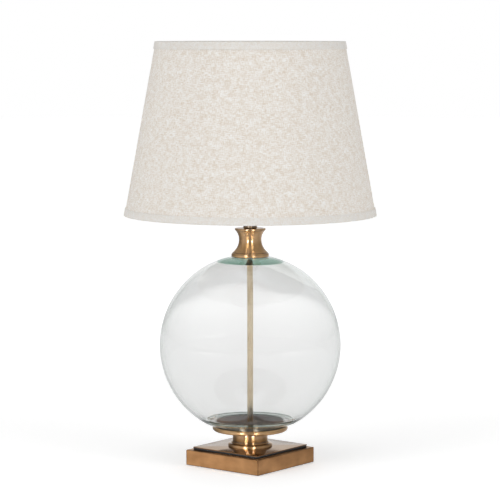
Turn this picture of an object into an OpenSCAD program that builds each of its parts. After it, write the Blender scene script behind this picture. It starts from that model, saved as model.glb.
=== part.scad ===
// Table lamp: square brass base, blown glass ball on a turned brass foot, linen empire shade.
// Millimetres, +Z up. The origin is the middle of the base, on the surface the lamp stands on.
// The base sides lie along X and Y, and the cable leaves at the back, towards +Y.

/* [Base] */
// Side of the square base cover
base_w = 148; // [140:1:170]
// Height of the top face of the base cover
base_h = 25.4; // [24:0.2:32]
// Thickness of the pressed sheet of the base cover
base_wall = 1.2; // [1:0.1:2]
// Radius of the base cover's corners and top edges
base_edge_r = 1.4; // [1:0.1:2.5]
// Side of the raised square top plate
plate_w = 132; // [116:1:134]
// Thickness of the top plate
plate_t = 1.2; // [0.8:0.1:2]
// Thickness of the black board under the top plate
board_t = 3.4; // [2:0.2:6]

/* [Turned brass] */
// Largest radius of the ogee foot ring
foot_r = 35.8; // [33:0.1:40]
// Height of the foot ring
foot_h = 8.2; // [7:0.1:12]
// Radius of the short pedestal
pedestal_r = 28.3; // [26:0.1:30]
// Height of the pedestal
pedestal_h = 17.8; // [14:0.1:24]
// Radius of the dish that carries the glass, over its rounded rim
dish_r = 61; // [58:0.5:66]
// Thickness of the dish at its rim
dish_rim_t = 7.2; // [6:0.1:9]
// Height of the dish's raised seat over its underside
dish_seat_h = 10.5; // [9:0.1:12]
// Radius of the neck's bottom band
neck_band_r = 30.3; // [28:0.1:33]
// Radius of the neck's waist
neck_waist_r = 18.1; // [15:0.1:20]
// Radius of the neck's top flange
neck_flange_r = 24.5; // [23:0.1:27]
// Height of the neck
neck_h = 45.5; // [44:0.5:50]
// Outer radius of the clamp nut over the neck
clamp_nut_r = 11; // [9:0.1:13]
// Outer radius of the centre tube
tube_r = 4.75; // [4.5:0.05:5]
// Bore radius of the centre tube, the way for the wires
tube_bore_r = 3.4; // [3:0.1:3.6]

/* [Glass] */
// Outer radius of the glass ball
globe_r = 146; // [120:1:160]
// Wall thickness of the ball
globe_wall = 3; // [2.5:0.1:5]
// Radius of the soft heel round the flat floor
globe_heel_r = 5; // [3:0.5:8]
// Distance from the ball's centre down to its flat floor
globe_floor_drop = 126.8; // [110:0.2:130]
// Distance from the ball's centre up to the ground land under the neck
globe_land_rise = 142.2; // [138:0.2:143]
// Radius of the opening in the floor of the ball
globe_opening_r = 54; // [40:0.5:56]
// Radius at which the floor starts to rise into the wall
globe_flat_r = 58.5; // [57:0.5:64]
// Thickness of the solid glass under the land
globe_cap_t = 12.5; // [6:0.5:20]

/* [Shade] */
// Radius of the shade at its bottom edge, over the hem
shade_bottom_r = 203.2; // [180:0.2:230]
// Radius of the shade at its top edge, over the hem
shade_top_r = 152.5; // [120:0.5:180]
// Height of the shade
shade_h = 277.3; // [220:0.1:320]
// Height of the hems
hem_h = 12; // [8:0.5:16]
// Thickness of the hems
hem_t = 1.6; // [0.8:0.1:2]
// Thickness of the linen cover
cover_t = 0.9; // [0.5:0.1:1.5]
// Thickness of the stiff lining
lining_t = 0.7; // [0.5:0.1:1.5]
// Radius of the wire of the frame rings
wire_r = 1.6; // [1.2:0.1:2]
// Radius of the wire of the spider arms
arm_r = 1.8; // [1.4:0.1:2]
// Number of spider arms
arm_count = 3; // [3:1:3]

/* [Lampholder and bulb] */
// Outer radius of the lampholder
holder_r = 19.5; // [19:0.1:20]
// Radius of the bulb's round glass
bulb_r = 30; // [22:0.5:30]
// Length of the bulb from contact to crown
bulb_len = 106; // [96:1:112]
// Radius of the bulb's screw cap
screw_cap_r = 13.1; // [13:0.05:13.2]
// Radius of the push bar of the switch
bar_r = 2.7; // [2.2:0.1:2.9]
// Length of the push bar
bar_len = 52; // [48:1:60]
// Travel of the push bar
bar_travel = 6; // [4:0.5:7]

/* [Cable entry] */
// Bore radius of the cable bush
bush_bore_r = 3.3; // [2.5:0.1:3.5]
// Length of the cable bush
bush_len = 8; // [7:0.5:10]

/* [Hidden] */
round_fn = 128;
small_fn = 48;
cut = 1;

// Clearance of a hole round the tube, and of the parts that turn
slip = 0.25;
thread_gap = 0.05;
turn_gap = 0.3;
run_gap = 0.08;

// Heights inside the base, from the table up
felt_t = 2;
felt_inset = 4;
cover_z0 = 1;
board_z0 = felt_t;
bottom_board_t = 1.5;
weight_t = 8;
weight_inset = 5;
washer_t = 1.6;
washer_r = 12;
nut_t = 4;
nut_flats = 17;
tube_tail = 1;
weight_z0 = base_h - base_wall - weight_t;
washer_z0 = weight_z0 - washer_t;
nut_z0 = washer_z0 - nut_t;
tube_z0 = nut_z0 - tube_tail;

// Heights of the stepped plinth and the turned foot
board_inset = 0.7;
plinth_z0 = base_h;
plate_z0 = plinth_z0 + board_t;
foot_z0 = plate_z0 + plate_t;
pedestal_z0 = foot_z0 + foot_h;
dish_z0 = pedestal_z0 + pedestal_h;
dish_seat_r = dish_r - 5;
dish_channel_r = dish_r - 3.4;
dish_channel_h = dish_rim_t - 0.6;
pad_t = 2;
pad_r = dish_r - 3;
plug_t = 1.6;
seat_z0 = dish_z0 + dish_seat_h;
globe_z0 = seat_z0 + pad_t;

// Heights and inner form of the glass
globe_cz = globe_z0 + globe_floor_drop;
globe_z1 = globe_cz + globe_land_rise;
globe_in_r = globe_r - globe_wall;
floor_z = globe_z0 + globe_wall;
ceiling_z = globe_z1 - globe_cap_t;
ceiling_round = 9;
melt = 0.03;
upper_hole_r = 7.2;
grommet_gap = 0.2;

// Neck and clamp nut
gasket_t = 1;
gasket_r = neck_band_r - 4.3;
neck_z0 = globe_z1 + gasket_t;
neck_z1 = neck_z0 + neck_h;
neck_band_h = 4.3;
neck_ledge_h = 1.9;
neck_ledge_w = 1.6;
neck_groove = 0.7;
neck_flange_h = 2.7;
neck_waist_z = neck_z0 + 27.5;
neck_lower_arc = 26;
neck_upper_arc = 21.5;
clamp_nut_h = 7;
clamp_nut_z0 = neck_z1;

// Lampholder
cap_z0 = clamp_nut_z0 + clamp_nut_h;
cap_boss_r = 8;
cap_boss_h = 3.5;
cap_dome_h = 10.5;
cap_h = 22;
cap_t = 1;
skirt_z0 = cap_z0 + cap_h;
skirt_h = 33;
skirt_t = 1.4;
skirt_step = 0.2;
skirt_r = holder_r - skirt_step;
skirt_lip_r = 15.6;
skirt_lip_t = 1.2;
insert_z0 = cap_z0 + 8;
insert_r = holder_r - 1.9;
insert_foot_r = 14.6;
insert_foot_h = 6;
insert_h = 43;
socket_floor_z = skirt_z0 + 3;
shell_t = 0.5;
shell_in_r = screw_cap_r + turn_gap;
shell_h = 25;
socket_r = shell_in_r + shell_t + thread_gap;
tube_z1 = cap_z0 + 6;
contact_r = 3;
contact_t = 1.2;
bar_z = cap_z0 + 16;
bar_rest_x = -bar_travel / 2;
bar_hole_r = bar_r + 0.5;
terminal_y = 9.5;
terminal_head_r = 2.6;
terminal_head_t = 1.8;
terminal_shank_r = 1.5;
terminal_shank_l = 5;
grub_r = 1.5;
grub_z = cap_z0 + 1.8;

// Shade rings, fitter and spider
lower_ring_h = 4;
lower_ring_r = 25;
upper_ring_h = 5;
upper_ring_r = 28.5;
fitter_t = 2;
fitter_in_r = 21;
fitter_r = 29.5;
lower_ring_z0 = skirt_z0 + 7;
fitter_z0 = lower_ring_z0 + lower_ring_h + turn_gap;
upper_ring_z0 = fitter_z0 + fitter_t + turn_gap;

// Shade: the bottom edge hangs below the fitter ring
shade_drop = 18.6;
shade_z0 = fitter_z0 - shade_drop;
shade_z1 = shade_z0 + shade_h;
shade_slope = (shade_bottom_r - shade_top_r) / shade_h;
skin_t = hem_t + cover_t + lining_t;
hem_lap = 0.8;
ring_rise = hem_lap + wire_r;
wire_gap = 0.05;
wire_in = wire_r * sqrt(1 + pow(shade_slope, 2)) + wire_gap;
hem_flap_h = 8;
slit_below = 1;
arm_z = fitter_z0 - arm_r;
arm_in_r = lower_ring_r + 2;
arm_bend_in = 11;

// Bulb
bulb_z0 = socket_floor_z + contact_t + turn_gap;
bulb_contact_t = 1;
bulb_contact_r = 4.5;
bulb_insulator_t = 2.5;
bulb_cap_z0 = bulb_z0 + bulb_contact_t + bulb_insulator_t;
bulb_cap_h = 21;
bulb_cap_t = 0.4;
bulb_shoulder = 3;
bulb_glass_z0 = bulb_cap_z0 + bulb_cap_h;
bulb_cz = bulb_z0 + bulb_len - bulb_r;
bulb_neck_r = 14.6;
bulb_neck_h = 5;
bulb_wall = 1;
bulb_plug = 4;

// Cable bush
bush_z = 9.9;
bush_body_r = 4.8;
bush_flange_r = 6.4;
bush_flange_t = 1.6;
bush_catch_r = 5.6;
bush_proud = 2.4;

// Colours of the finishes
brass = [0.62, 0.46, 0.28];
dark_brass = [0.36, 0.27, 0.17];
copper_brass = [0.66, 0.45, 0.27];
black = [0.08, 0.08, 0.09];
steel = [0.7, 0.7, 0.72];
glass_tint = [0.85, 0.93, 0.9, 0.35];
linen = [0.9, 0.87, 0.82];
linen_hem = [0.88, 0.86, 0.82];
lining_white = [0.96, 0.95, 0.92];
opal = [0.97, 0.96, 0.93];
porcelain = [0.93, 0.92, 0.88];

// Outer radius of the shade's hem line at a height above its bottom edge
function shade_r(rise) = shade_bottom_r - shade_slope * rise;
// Radius of the inside of the lining at that height
function lining_in_r(rise) = shade_r(rise) - skin_t;
// Radius of a circle's edge at a distance from its middle
function chord(r, d) = sqrt(r * r - d * d);

// A tube: outer radius, bore radius and height
module ring(r, bore, h) {
    difference() {
        cylinder(r = r, h = h, $fn = round_fn);
        translate([0, 0, -cut]) cylinder(r = bore, h = h + 2 * cut, $fn = round_fn);
    }
}

// A square sheet with a round hole in the middle
module holed_square(w, h, bore) {
    difference() {
        translate([-w / 2, -w / 2, 0]) cube([w, w, h]);
        translate([0, 0, -cut]) cylinder(r = bore, h = h + 2 * cut, $fn = small_fn);
    }
}

// A square block with round upright corners and round top edges, all of one radius
module soft_block(w, h, r) {
    d = w / 2 - r;
    translate([-w / 2, -d, 0]) cube([w, 2 * d, h - r]);
    translate([-d, -w / 2, 0]) cube([2 * d, w, h - r]);
    translate([-d, -d, 0]) cube([2 * d, 2 * d, h]);
    for (x = [-d, d], y = [-d, d]) {
        translate([x, y, 0]) cylinder(r = r, h = h - r, $fn = small_fn);
        translate([x, y, h - r]) sphere(r = r, $fn = small_fn);
    }
    for (turn = [0, 90, 180, 270])
        rotate([0, 0, turn]) translate([-d, d, h - r]) rotate([0, 90, 0])
            cylinder(r = r, h = 2 * d, $fn = small_fn);
}

module felt_pad() {
    color(black) translate([0, 0, felt_t / 2])
        cube([base_w - 2 * felt_inset, base_w - 2 * felt_inset, felt_t], center = true);
}

module bottom_board() {
    board_w = base_w - 2 * base_wall - 2 * slip;
    color(dark_brass) translate([0, 0, board_z0 + bottom_board_t / 2])
        cube([board_w, board_w, bottom_board_t], center = true);
}

module base_weight() {
    color(steel) translate([0, 0, weight_z0])
        holed_square(base_w - 2 * weight_inset, weight_t, tube_r + slip);
}

module base_washer() {
    color(steel) translate([0, 0, washer_z0]) ring(washer_r, tube_r + slip, washer_t);
}

module base_nut() {
    color(steel) translate([0, 0, nut_z0]) difference() {
        cylinder(r = nut_flats / 2 / cos(30), h = nut_t, $fn = 6);
        translate([0, 0, -cut])
            cylinder(r = tube_r + thread_gap, h = nut_t + 2 * cut, $fn = small_fn);
    }
}

// Pressed pan, open below, with holes for the tube and for the cable bush
module base_cover() {
    inner_w = base_w - 2 * base_wall;
    color(copper_brass) difference() {
        translate([0, 0, cover_z0]) soft_block(base_w, base_h - cover_z0, base_edge_r);
        translate([-inner_w / 2, -inner_w / 2, 0]) cube([inner_w, inner_w, base_h - base_wall]);
        cylinder(r = tube_r + slip, h = base_h + cut, $fn = small_fn);
        translate([0, base_w / 2 - base_wall - cut, bush_z]) rotate([-90, 0, 0])
            cylinder(r = bush_body_r + thread_gap, h = base_wall + 2 * cut, $fn = small_fn);
    }
}

// Flanged bush that snaps into the back wall, turned about the cable's axis
module cable_bush() {
    groove_y = bush_proud + base_wall;
    color(black) translate([0, base_w / 2 + bush_proud, bush_z]) rotate([90, 0, 0])
        rotate_extrude($fn = small_fn) difference() {
            union() {
                square([bush_body_r, bush_len]);
                translate([0, bush_proud - bush_flange_t]) square([bush_flange_r, bush_flange_t]);
                polygon([[0, groove_y], [bush_catch_r, groove_y], [bush_body_r, bush_len],
                    [0, bush_len]]);
            }
            translate([-cut, -cut]) square([bush_bore_r + cut, bush_len + 2 * cut]);
        }
}

module plinth_board() {
    color(black) translate([0, 0, plinth_z0])
        holed_square(plate_w - 2 * board_inset, board_t, tube_r + slip);
}

module top_plate() {
    color(brass) translate([0, 0, plate_z0]) holed_square(plate_w, plate_t, tube_r + slip);
}

// Foot ring: an upright land, a swelling quarter round, then a hollow up to the pedestal
module foot_ring() {
    land_h = 2.4;
    swell = 3.4;
    hollow = foot_h - land_h - swell;
    top_r = foot_r - swell - hollow;
    color(brass) translate([0, 0, foot_z0]) rotate_extrude($fn = round_fn) difference() {
        union() {
            square([foot_r, land_h]);
            square([foot_r - swell, land_h + swell]);
            translate([foot_r - swell, land_h]) circle(r = swell, $fn = small_fn);
            difference() {
                square([foot_r - swell, foot_h]);
                translate([top_r + hollow, foot_h]) circle(r = hollow, $fn = small_fn);
            }
        }
        translate([-cut, -2 * swell]) square([2 * foot_r, 2 * swell]);
        square([tube_r + slip, foot_h]);
    }
}

// Short drum with a narrow bead at its foot and under the dish
module pedestal() {
    bead_h = 1.4;
    bead_out = 0.6;
    color(brass) translate([0, 0, pedestal_z0]) rotate_extrude($fn = round_fn) difference() {
        union() {
            square([pedestal_r, pedestal_h]);
            for (z = [bead_h / 2, pedestal_h - bead_h / 2])
                translate([pedestal_r + bead_out - bead_h / 2, z]) circle(d = bead_h, $fn = small_fn);
        }
        square([tube_r + slip, pedestal_h]);
    }
}

// Dish with a bull-nosed rim, a shallow channel inside it and a raised seat for the pad
module glass_dish() {
    nose_r = dish_rim_t / 2;
    color(brass) translate([0, 0, dish_z0]) rotate_extrude($fn = round_fn) difference() {
        union() {
            square([dish_r - nose_r, dish_rim_t]);
            translate([dish_r - nose_r, nose_r]) circle(r = nose_r, $fn = small_fn);
            square([dish_seat_r, dish_seat_h]);
        }
        translate([dish_seat_r, dish_channel_h])
            square([dish_channel_r - dish_seat_r, dish_rim_t]);
        square([tube_r + slip, dish_seat_h]);
    }
}

module seat_pad() {
    color(black) translate([0, 0, seat_z0]) ring(pad_r, tube_r + slip, pad_t);
}

// Wide plug in the opening of the ball, which centres the glass on its pad
module lower_grommet() {
    color(black) translate([0, 0, globe_z0])
        ring(globe_opening_r - grommet_gap, tube_r + slip, plug_t);
}

module upper_grommet() {
    color(black) translate([0, 0, ceiling_z])
        ring(upper_hole_r - grommet_gap, tube_r + slip, globe_cap_t);
}

// Blown ball, cut flat at the bottom with a soft heel and at the top with a ground land. The
// floor is a thin ring round a wide opening, and rises to the wall in a thick round bowl. The
// ceiling is a thick flat cap. The rounds stand out by melt, so that they cross the ball's curve
// at a clear angle.
module glass_globe() {
    heel_rise = globe_floor_drop - globe_heel_r;
    heel_x = chord(globe_r - globe_heel_r, heel_rise);
    heel_top = globe_z0 + globe_floor_drop - heel_rise * globe_r / (globe_r - globe_heel_r);
    bowl_rise = globe_floor_drop - globe_wall;
    bowl_r = (pow(globe_in_r, 2) - pow(globe_flat_r, 2) - pow(bowl_rise, 2))
        / (globe_in_r - bowl_rise) / 2;
    bowl_top = globe_cz - (bowl_rise - bowl_r) * globe_in_r / (globe_in_r - bowl_r);
    ceiling_rise = ceiling_z - globe_cz - ceiling_round;
    ceiling_x = chord(globe_in_r - ceiling_round, ceiling_rise);
    ceiling_join = globe_cz + ceiling_rise * globe_in_r / (globe_in_r - ceiling_round);
    color(glass_tint) rotate_extrude($fn = round_fn) difference() {
        union() {
            intersection() {
                translate([0, globe_cz]) circle(r = globe_r, $fn = round_fn);
                translate([0, heel_top]) square([globe_r, globe_z1 - heel_top]);
            }
            translate([heel_x + melt, globe_z0 + globe_heel_r])
                circle(r = globe_heel_r, $fn = small_fn);
            translate([0, globe_z0]) square([heel_x + melt, heel_top - globe_z0]);
        }
        intersection() {
            translate([0, globe_cz]) circle(r = globe_in_r, $fn = round_fn);
            translate([0, bowl_top]) square([globe_r, ceiling_join - bowl_top]);
        }
        translate([0, floor_z]) square([globe_flat_r + melt, bowl_r]);
        translate([globe_flat_r + melt, floor_z + bowl_r]) circle(r = bowl_r, $fn = round_fn);
        translate([0, ceiling_z - 2 * ceiling_round])
            square([ceiling_x + melt, 2 * ceiling_round]);
        translate([ceiling_x + melt, ceiling_z - ceiling_round])
            circle(r = ceiling_round, $fn = small_fn);
        translate([0, globe_z0 - cut]) square([globe_opening_r, globe_wall + 2 * cut]);
        translate([0, ceiling_z - cut]) square([upper_hole_r, globe_cap_t + 2 * cut]);
    }
}

module centre_tube() {
    color(brass) translate([0, 0, tube_z0]) ring(tube_r, tube_bore_r, tube_z1 - tube_z0);
}

module neck_gasket() {
    color(black) translate([0, 0, globe_z1]) ring(gasket_r, tube_r + slip, gasket_t);
}

// Spool neck: a band, a sloping ledge, a groove, a long hollow curve and a top flange
module neck_spool() {
    ledge_z = neck_z0 + neck_band_h;
    curve_z = ledge_z + neck_ledge_h + neck_groove;
    flange_z = neck_z1 - neck_flange_h;
    inner_r = neck_band_r - neck_ledge_w;
    color(brass) rotate_extrude($fn = round_fn) difference() {
        union() {
            translate([0, neck_z0]) square([neck_band_r, neck_band_h]);
            polygon([[0, ledge_z], [neck_band_r, ledge_z], [inner_r, ledge_z + neck_ledge_h],
                [0, ledge_z + neck_ledge_h]]);
            translate([0, ledge_z]) square([inner_r - neck_groove, curve_z - ledge_z]);
            difference() {
                translate([0, curve_z]) square([inner_r, neck_waist_z - curve_z]);
                translate([neck_waist_r + neck_lower_arc, neck_waist_z])
                    circle(r = neck_lower_arc, $fn = round_fn);
            }
            difference() {
                translate([0, neck_waist_z]) square([neck_flange_r, flange_z - neck_waist_z]);
                translate([neck_waist_r + neck_upper_arc, neck_waist_z])
                    circle(r = neck_upper_arc, $fn = round_fn);
            }
            translate([0, flange_z]) square([neck_flange_r, neck_flange_h]);
        }
        translate([0, neck_z0]) square([tube_r + slip, neck_h]);
    }
}

// Round nut with a soft shoulder that draws the whole stack together
module clamp_nut() {
    shoulder = 1;
    color(dark_brass) translate([0, 0, clamp_nut_z0]) rotate_extrude($fn = round_fn) difference() {
        union() {
            square([clamp_nut_r, clamp_nut_h - shoulder]);
            square([clamp_nut_r - shoulder, clamp_nut_h]);
            translate([clamp_nut_r - shoulder, clamp_nut_h - shoulder])
                circle(r = shoulder, $fn = small_fn);
        }
        square([tube_r + thread_gap, clamp_nut_h]);
    }
}

// Half section of the holder cap's outside, drawn in by t all round
module cap_section(t) {
    dome_r = holder_r - t;
    dome_z = cap_boss_h + cap_dome_h;
    square([dome_r - cap_dome_h, dome_z]);
    translate([0, dome_z]) square([dome_r, cap_h - dome_z]);
    intersection() {
        translate([dome_r - cap_dome_h, dome_z]) circle(r = cap_dome_h, $fn = round_fn);
        translate([0, cap_boss_h]) square([dome_r, cap_dome_h]);
    }
}

// Domed cap of the lampholder, with holes for the push bar and the grub screw
module holder_cap() {
    color(dark_brass) difference() {
        translate([0, 0, cap_z0]) rotate_extrude($fn = round_fn) difference() {
            union() {
                square([cap_boss_r, cap_boss_h + cap_t]);
                intersection() {
                    cap_section(0);
                    translate([0, cap_boss_h]) square([holder_r, cap_h - cap_boss_h]);
                }
            }
            translate([0, cap_t]) intersection() {
                cap_section(cap_t);
                translate([0, cap_boss_h]) square([holder_r, cap_h]);
            }
            square([tube_r + thread_gap, cap_h]);
        }
        translate([-bar_len, 0, bar_z]) rotate([0, 90, 0])
            cylinder(r = bar_hole_r, h = 2 * bar_len, $fn = small_fn);
        translate([0, 0, grub_z]) rotate([90, 0, 0])
            cylinder(r = grub_r, h = cap_boss_r + cut, $fn = small_fn);
    }
}

module grub_screw() {
    grub_gap = 0.1;
    color(steel) translate([0, -tube_r - grub_gap, grub_z]) rotate([90, 0, 0])
        cylinder(r = grub_r - grub_gap, h = cap_boss_r - tube_r - grub_gap, $fn = small_fn);
}

// Porcelain insert: a stepped foot with terminals, a cross hole for the bar and a deep socket
module holder_insert() {
    color(porcelain) difference() {
        translate([0, 0, insert_z0]) rotate_extrude($fn = round_fn) difference() {
            union() {
                square([insert_foot_r, insert_foot_h]);
                translate([0, insert_foot_h]) square([insert_r, insert_h - insert_foot_h]);
            }
            translate([0, socket_floor_z - insert_z0]) square([socket_r, insert_h]);
        }
        translate([-bar_len, 0, bar_z]) rotate([0, 90, 0])
            cylinder(r = bar_r + run_gap, h = 2 * bar_len, $fn = small_fn);
        for (side = [-1, 1]) translate([0, side * terminal_y, insert_z0 - cut])
            cylinder(r = terminal_shank_r, h = terminal_shank_l + cut, $fn = small_fn);
    }
}

module terminal_screws() {
    slot_w = 0.8;
    slot_d = 0.8;
    color(dark_brass) for (side = [-1, 1])
        translate([0, side * terminal_y, insert_z0 - terminal_head_t]) difference() {
            union() {
                cylinder(r = terminal_head_r, h = terminal_head_t, $fn = small_fn);
                cylinder(r = terminal_shank_r - thread_gap,
                    h = terminal_head_t + terminal_shank_l, $fn = small_fn);
            }
            translate([-terminal_head_r, -slot_w / 2, -cut])
                cube([2 * terminal_head_r, slot_w, slot_d + cut]);
        }
}

module centre_contact() {
    color(brass) translate([0, 0, socket_floor_z])
        cylinder(r = contact_r, h = contact_t, $fn = small_fn);
}

module thread_shell() {
    color(brass) translate([0, 0, socket_floor_z + slip])
        ring(shell_in_r + shell_t, shell_in_r, shell_h);
}

// Outer skirt of the lampholder, with its thread relief and a lip turned in at the mouth
module holder_skirt() {
    foot_h = 4;
    color(dark_brass) translate([0, 0, skirt_z0]) rotate_extrude($fn = round_fn) difference() {
        union() {
            square([holder_r, foot_h]);
            square([skirt_r, skirt_h]);
        }
        translate([0, -cut]) square([skirt_r - skirt_t, skirt_h - skirt_lip_t + cut]);
        square([skirt_lip_r, skirt_h]);
    }
}

// Shade ring: a flange with a grip collar, its thread running on the skirt
module shade_ring(r, h) {
    flange_h = 2;
    collar_r = skirt_r + 3;
    difference() {
        union() {
            cylinder(r = r, h = flange_h, $fn = round_fn);
            cylinder(r = collar_r, h = h, $fn = round_fn);
        }
        translate([0, 0, -cut]) cylinder(r = skirt_r + run_gap, h = h + 2 * cut, $fn = round_fn);
    }
}

module lower_shade_ring() {
    color(dark_brass) translate([0, 0, lower_ring_z0 + lower_ring_h]) mirror([0, 0, 1])
        shade_ring(lower_ring_r, lower_ring_h);
}

module upper_shade_ring() {
    color(dark_brass) translate([0, 0, upper_ring_z0]) shade_ring(upper_ring_r, upper_ring_h);
}

// Push bar with rounded ends, resting at one end of its travel
module switch_bar() {
    straight = bar_len - 2 * bar_r;
    color(black) translate([bar_rest_x - straight / 2, 0, bar_z]) rotate([0, 90, 0]) {
        cylinder(r = bar_r, h = straight, $fn = small_fn);
        for (z = [0, straight]) translate([0, 0, z]) sphere(r = bar_r, $fn = small_fn);
    }
}

module bulb_contact() {
    color(steel) translate([0, 0, bulb_z0])
        cylinder(r = bulb_contact_r, h = bulb_contact_t, $fn = small_fn);
}

module bulb_insulator() {
    color(black) translate([0, 0, bulb_z0 + bulb_contact_t]) rotate_extrude($fn = round_fn)
        polygon([[0, 0], [bulb_contact_r + bulb_contact_t, 0],
            [screw_cap_r - bulb_shoulder, bulb_insulator_t], [0, bulb_insulator_t]]);
}

module bulb_cap() {
    bore = screw_cap_r - bulb_cap_t;
    color(steel) translate([0, 0, bulb_cap_z0]) rotate_extrude($fn = round_fn) difference() {
        polygon([[0, 0], [screw_cap_r - bulb_shoulder, 0], [screw_cap_r, bulb_shoulder],
            [screw_cap_r, bulb_cap_h], [0, bulb_cap_h]]);
        polygon([[0, bulb_cap_t], [bore - bulb_shoulder, bulb_cap_t], [bore, bulb_shoulder],
            [bore, bulb_cap_h + cut], [0, bulb_cap_h + cut]]);
    }
}

// Half section of the bulb's glass, drawn in by t: a round crown with sides tangent to it
module bulb_section(t) {
    crown_r = bulb_r - t;
    foot_r = bulb_neck_r - t;
    foot_z = bulb_glass_z0 + bulb_neck_h;
    reach = sqrt(pow(foot_r, 2) + pow(bulb_cz - foot_z, 2));
    lean = atan2(bulb_cz - foot_z, -foot_r) - asin(crown_r / reach);
    side = sqrt(pow(reach, 2) - pow(crown_r, 2));
    touch = [foot_r + side * cos(lean), foot_z + side * sin(lean)];
    polygon([[0, bulb_glass_z0], [screw_cap_r - t, bulb_glass_z0], [foot_r, foot_z], touch,
        [0, bulb_cz]]);
    intersection() {
        translate([0, bulb_cz]) circle(r = crown_r, $fn = round_fn);
        translate([0, touch[1]]) square([crown_r, 2 * crown_r]);
    }
}

// Opal glass, a thin shell whose neck sits inside the screw cap
module bulb_envelope() {
    plug_r = screw_cap_r - bulb_cap_t - thread_gap;
    color(opal) rotate_extrude($fn = round_fn) difference() {
        union() {
            bulb_section(0);
            translate([0, bulb_glass_z0 - bulb_plug]) square([plug_r, bulb_plug]);
        }
        bulb_section(bulb_wall);
        translate([0, bulb_glass_z0 - bulb_plug - cut])
            square([plug_r - bulb_wall, bulb_plug + 2 * cut]);
    }
}

module fitter_ring() {
    color(lining_white) translate([0, 0, fitter_z0]) ring(fitter_r, fitter_in_r, fitter_t);
}

// Centre line circles of the two frame rings, just clear of the sloping lining: radius and height
bottom_ring = [lining_in_r(ring_rise) - wire_in, shade_z0 + ring_rise];
top_ring = [lining_in_r(shade_h - ring_rise) - wire_in, shade_z1 - ring_rise];

module wire_ring(at, r) {
    rotate_extrude($fn = round_fn) translate(at) circle(r = r, $fn = small_fn);
}

// One spider arm along +X: level from under the fitter ring, then bent down to the bottom ring
module arm_wire() {
    bend_x = bottom_ring[0] - arm_bend_in;
    drop = arm_z - bottom_ring[1];
    slant = sqrt(pow(arm_bend_in, 2) + pow(drop, 2)) - wire_r / 2;
    translate([arm_in_r, 0, arm_z]) rotate([0, 90, 0])
        cylinder(r = arm_r, h = bend_x - arm_in_r, $fn = small_fn);
    translate([bend_x, 0, arm_z]) {
        sphere(r = arm_r, $fn = small_fn);
        rotate([0, 90 + atan2(drop, arm_bend_in), 0]) cylinder(r = arm_r, h = slant, $fn = small_fn);
    }
}

module placed_arm(n) {
    rotate([0, 0, 90 + n * 360 / arm_count]) arm_wire();
}

// Arm n, cut where it is welded to the bottom ring
module spider_arm(n) {
    color(lining_white) difference() {
        placed_arm(n);
        wire_ring(bottom_ring, wire_r);
    }
}

module bottom_wire_ring() {
    color(lining_white) wire_ring(bottom_ring, wire_r);
}

module top_wire_ring() {
    color(lining_white) wire_ring(top_ring, wire_r);
}

// Half section of a layer of the shade: its outer and inner depth under the hem line, and the
// heights between which it runs
module layer_section(outer, inner, z0, z1) {
    translate([0, shade_z0]) polygon([[shade_r(z0) - outer, z0], [shade_r(z1) - outer, z1],
        [shade_r(z1) - inner, z1], [shade_r(z0) - inner, z0]]);
}

module shade_lining() {
    color(lining_white) rotate_extrude($fn = round_fn)
        layer_section(hem_t + cover_t, skin_t, hem_lap, shade_h - hem_lap);
}

module shade_cover() {
    color(linen) rotate_extrude($fn = round_fn)
        layer_section(hem_t, hem_t + cover_t, hem_lap, shade_h - hem_lap);
}

// A hem round a wire ring: a band outside, a lap over the edge and the wire, and a flap inside
// the lining. The heights are those of the band, of the lap and of the flap.
module hem(at, band, lap, flap) {
    rotate_extrude($fn = round_fn) difference() {
        union() {
            layer_section(0, hem_t, band[0], band[1]);
            layer_section(0, skin_t + wire_r, lap[0], lap[1]);
            translate(at) circle(r = wire_r + hem_lap, $fn = small_fn);
            layer_section(skin_t, skin_t + hem_lap, flap[0], flap[1]);
        }
        layer_section(hem_t, skin_t, hem_lap, shade_h - hem_lap);
        translate(at) circle(r = wire_r, $fn = small_fn);
    }
}

// Slit through the hem's lap and flap, from the middle of the shade to the lining, for arm n
module arm_slit(n) {
    slit_in = bottom_ring[0] - wire_r - hem_lap - cut;
    slit_out = (lining_in_r(ring_rise) + shade_r(hem_flap_h) - hem_t) / 2;
    slit_w = 2 * (arm_r + slip);
    rotate([0, 0, 90 + n * 360 / arm_count])
        translate([slit_in, -slit_w / 2, bottom_ring[1] - slit_below])
            cube([slit_out - slit_in, slit_w, hem_flap_h - ring_rise + 2 * slit_below]);
}

// The bottom hem is slit where the spider arms reach the wire
module bottom_hem() {
    color(linen_hem) difference() {
        hem(bottom_ring, [0, hem_h], [0, hem_lap], [ring_rise, hem_flap_h]);
        for (n = [1:arm_count]) arm_slit(n);
    }
}

module top_hem() {
    color(linen_hem) hem(top_ring, [shade_h - hem_h, shade_h], [shade_h - hem_lap, shade_h],
        [shade_h - hem_flap_h, shade_h - ring_rise]);
}

felt_pad();
bottom_board();
base_weight();
base_washer();
base_nut();
base_cover();
cable_bush();
plinth_board();
top_plate();
foot_ring();
pedestal();
glass_dish();
seat_pad();
lower_grommet();
glass_globe();
upper_grommet();
centre_tube();
neck_gasket();
neck_spool();
clamp_nut();
holder_cap();
grub_screw();
holder_insert();
terminal_screws();
centre_contact();
thread_shell();
holder_skirt();
lower_shade_ring();
upper_shade_ring();
switch_bar();
bulb_contact();
bulb_insulator();
bulb_cap();
bulb_envelope();
fitter_ring();
spider_arm(1);  // spider_arm_1
spider_arm(2);  // spider_arm_2
spider_arm(3);  // spider_arm_3
bottom_wire_ring();
top_wire_ring();
shade_lining();
shade_cover();
bottom_hem();
top_hem();
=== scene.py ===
# A table lamp with a square brass base, a blown glass ball and a tapered linen shade.
# Metres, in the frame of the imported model: +Z up, the base centred on the origin, the cable at +Y.
from math import acos, atan2, cos, degrees, hypot, pi, radians, sin, sqrt

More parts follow.
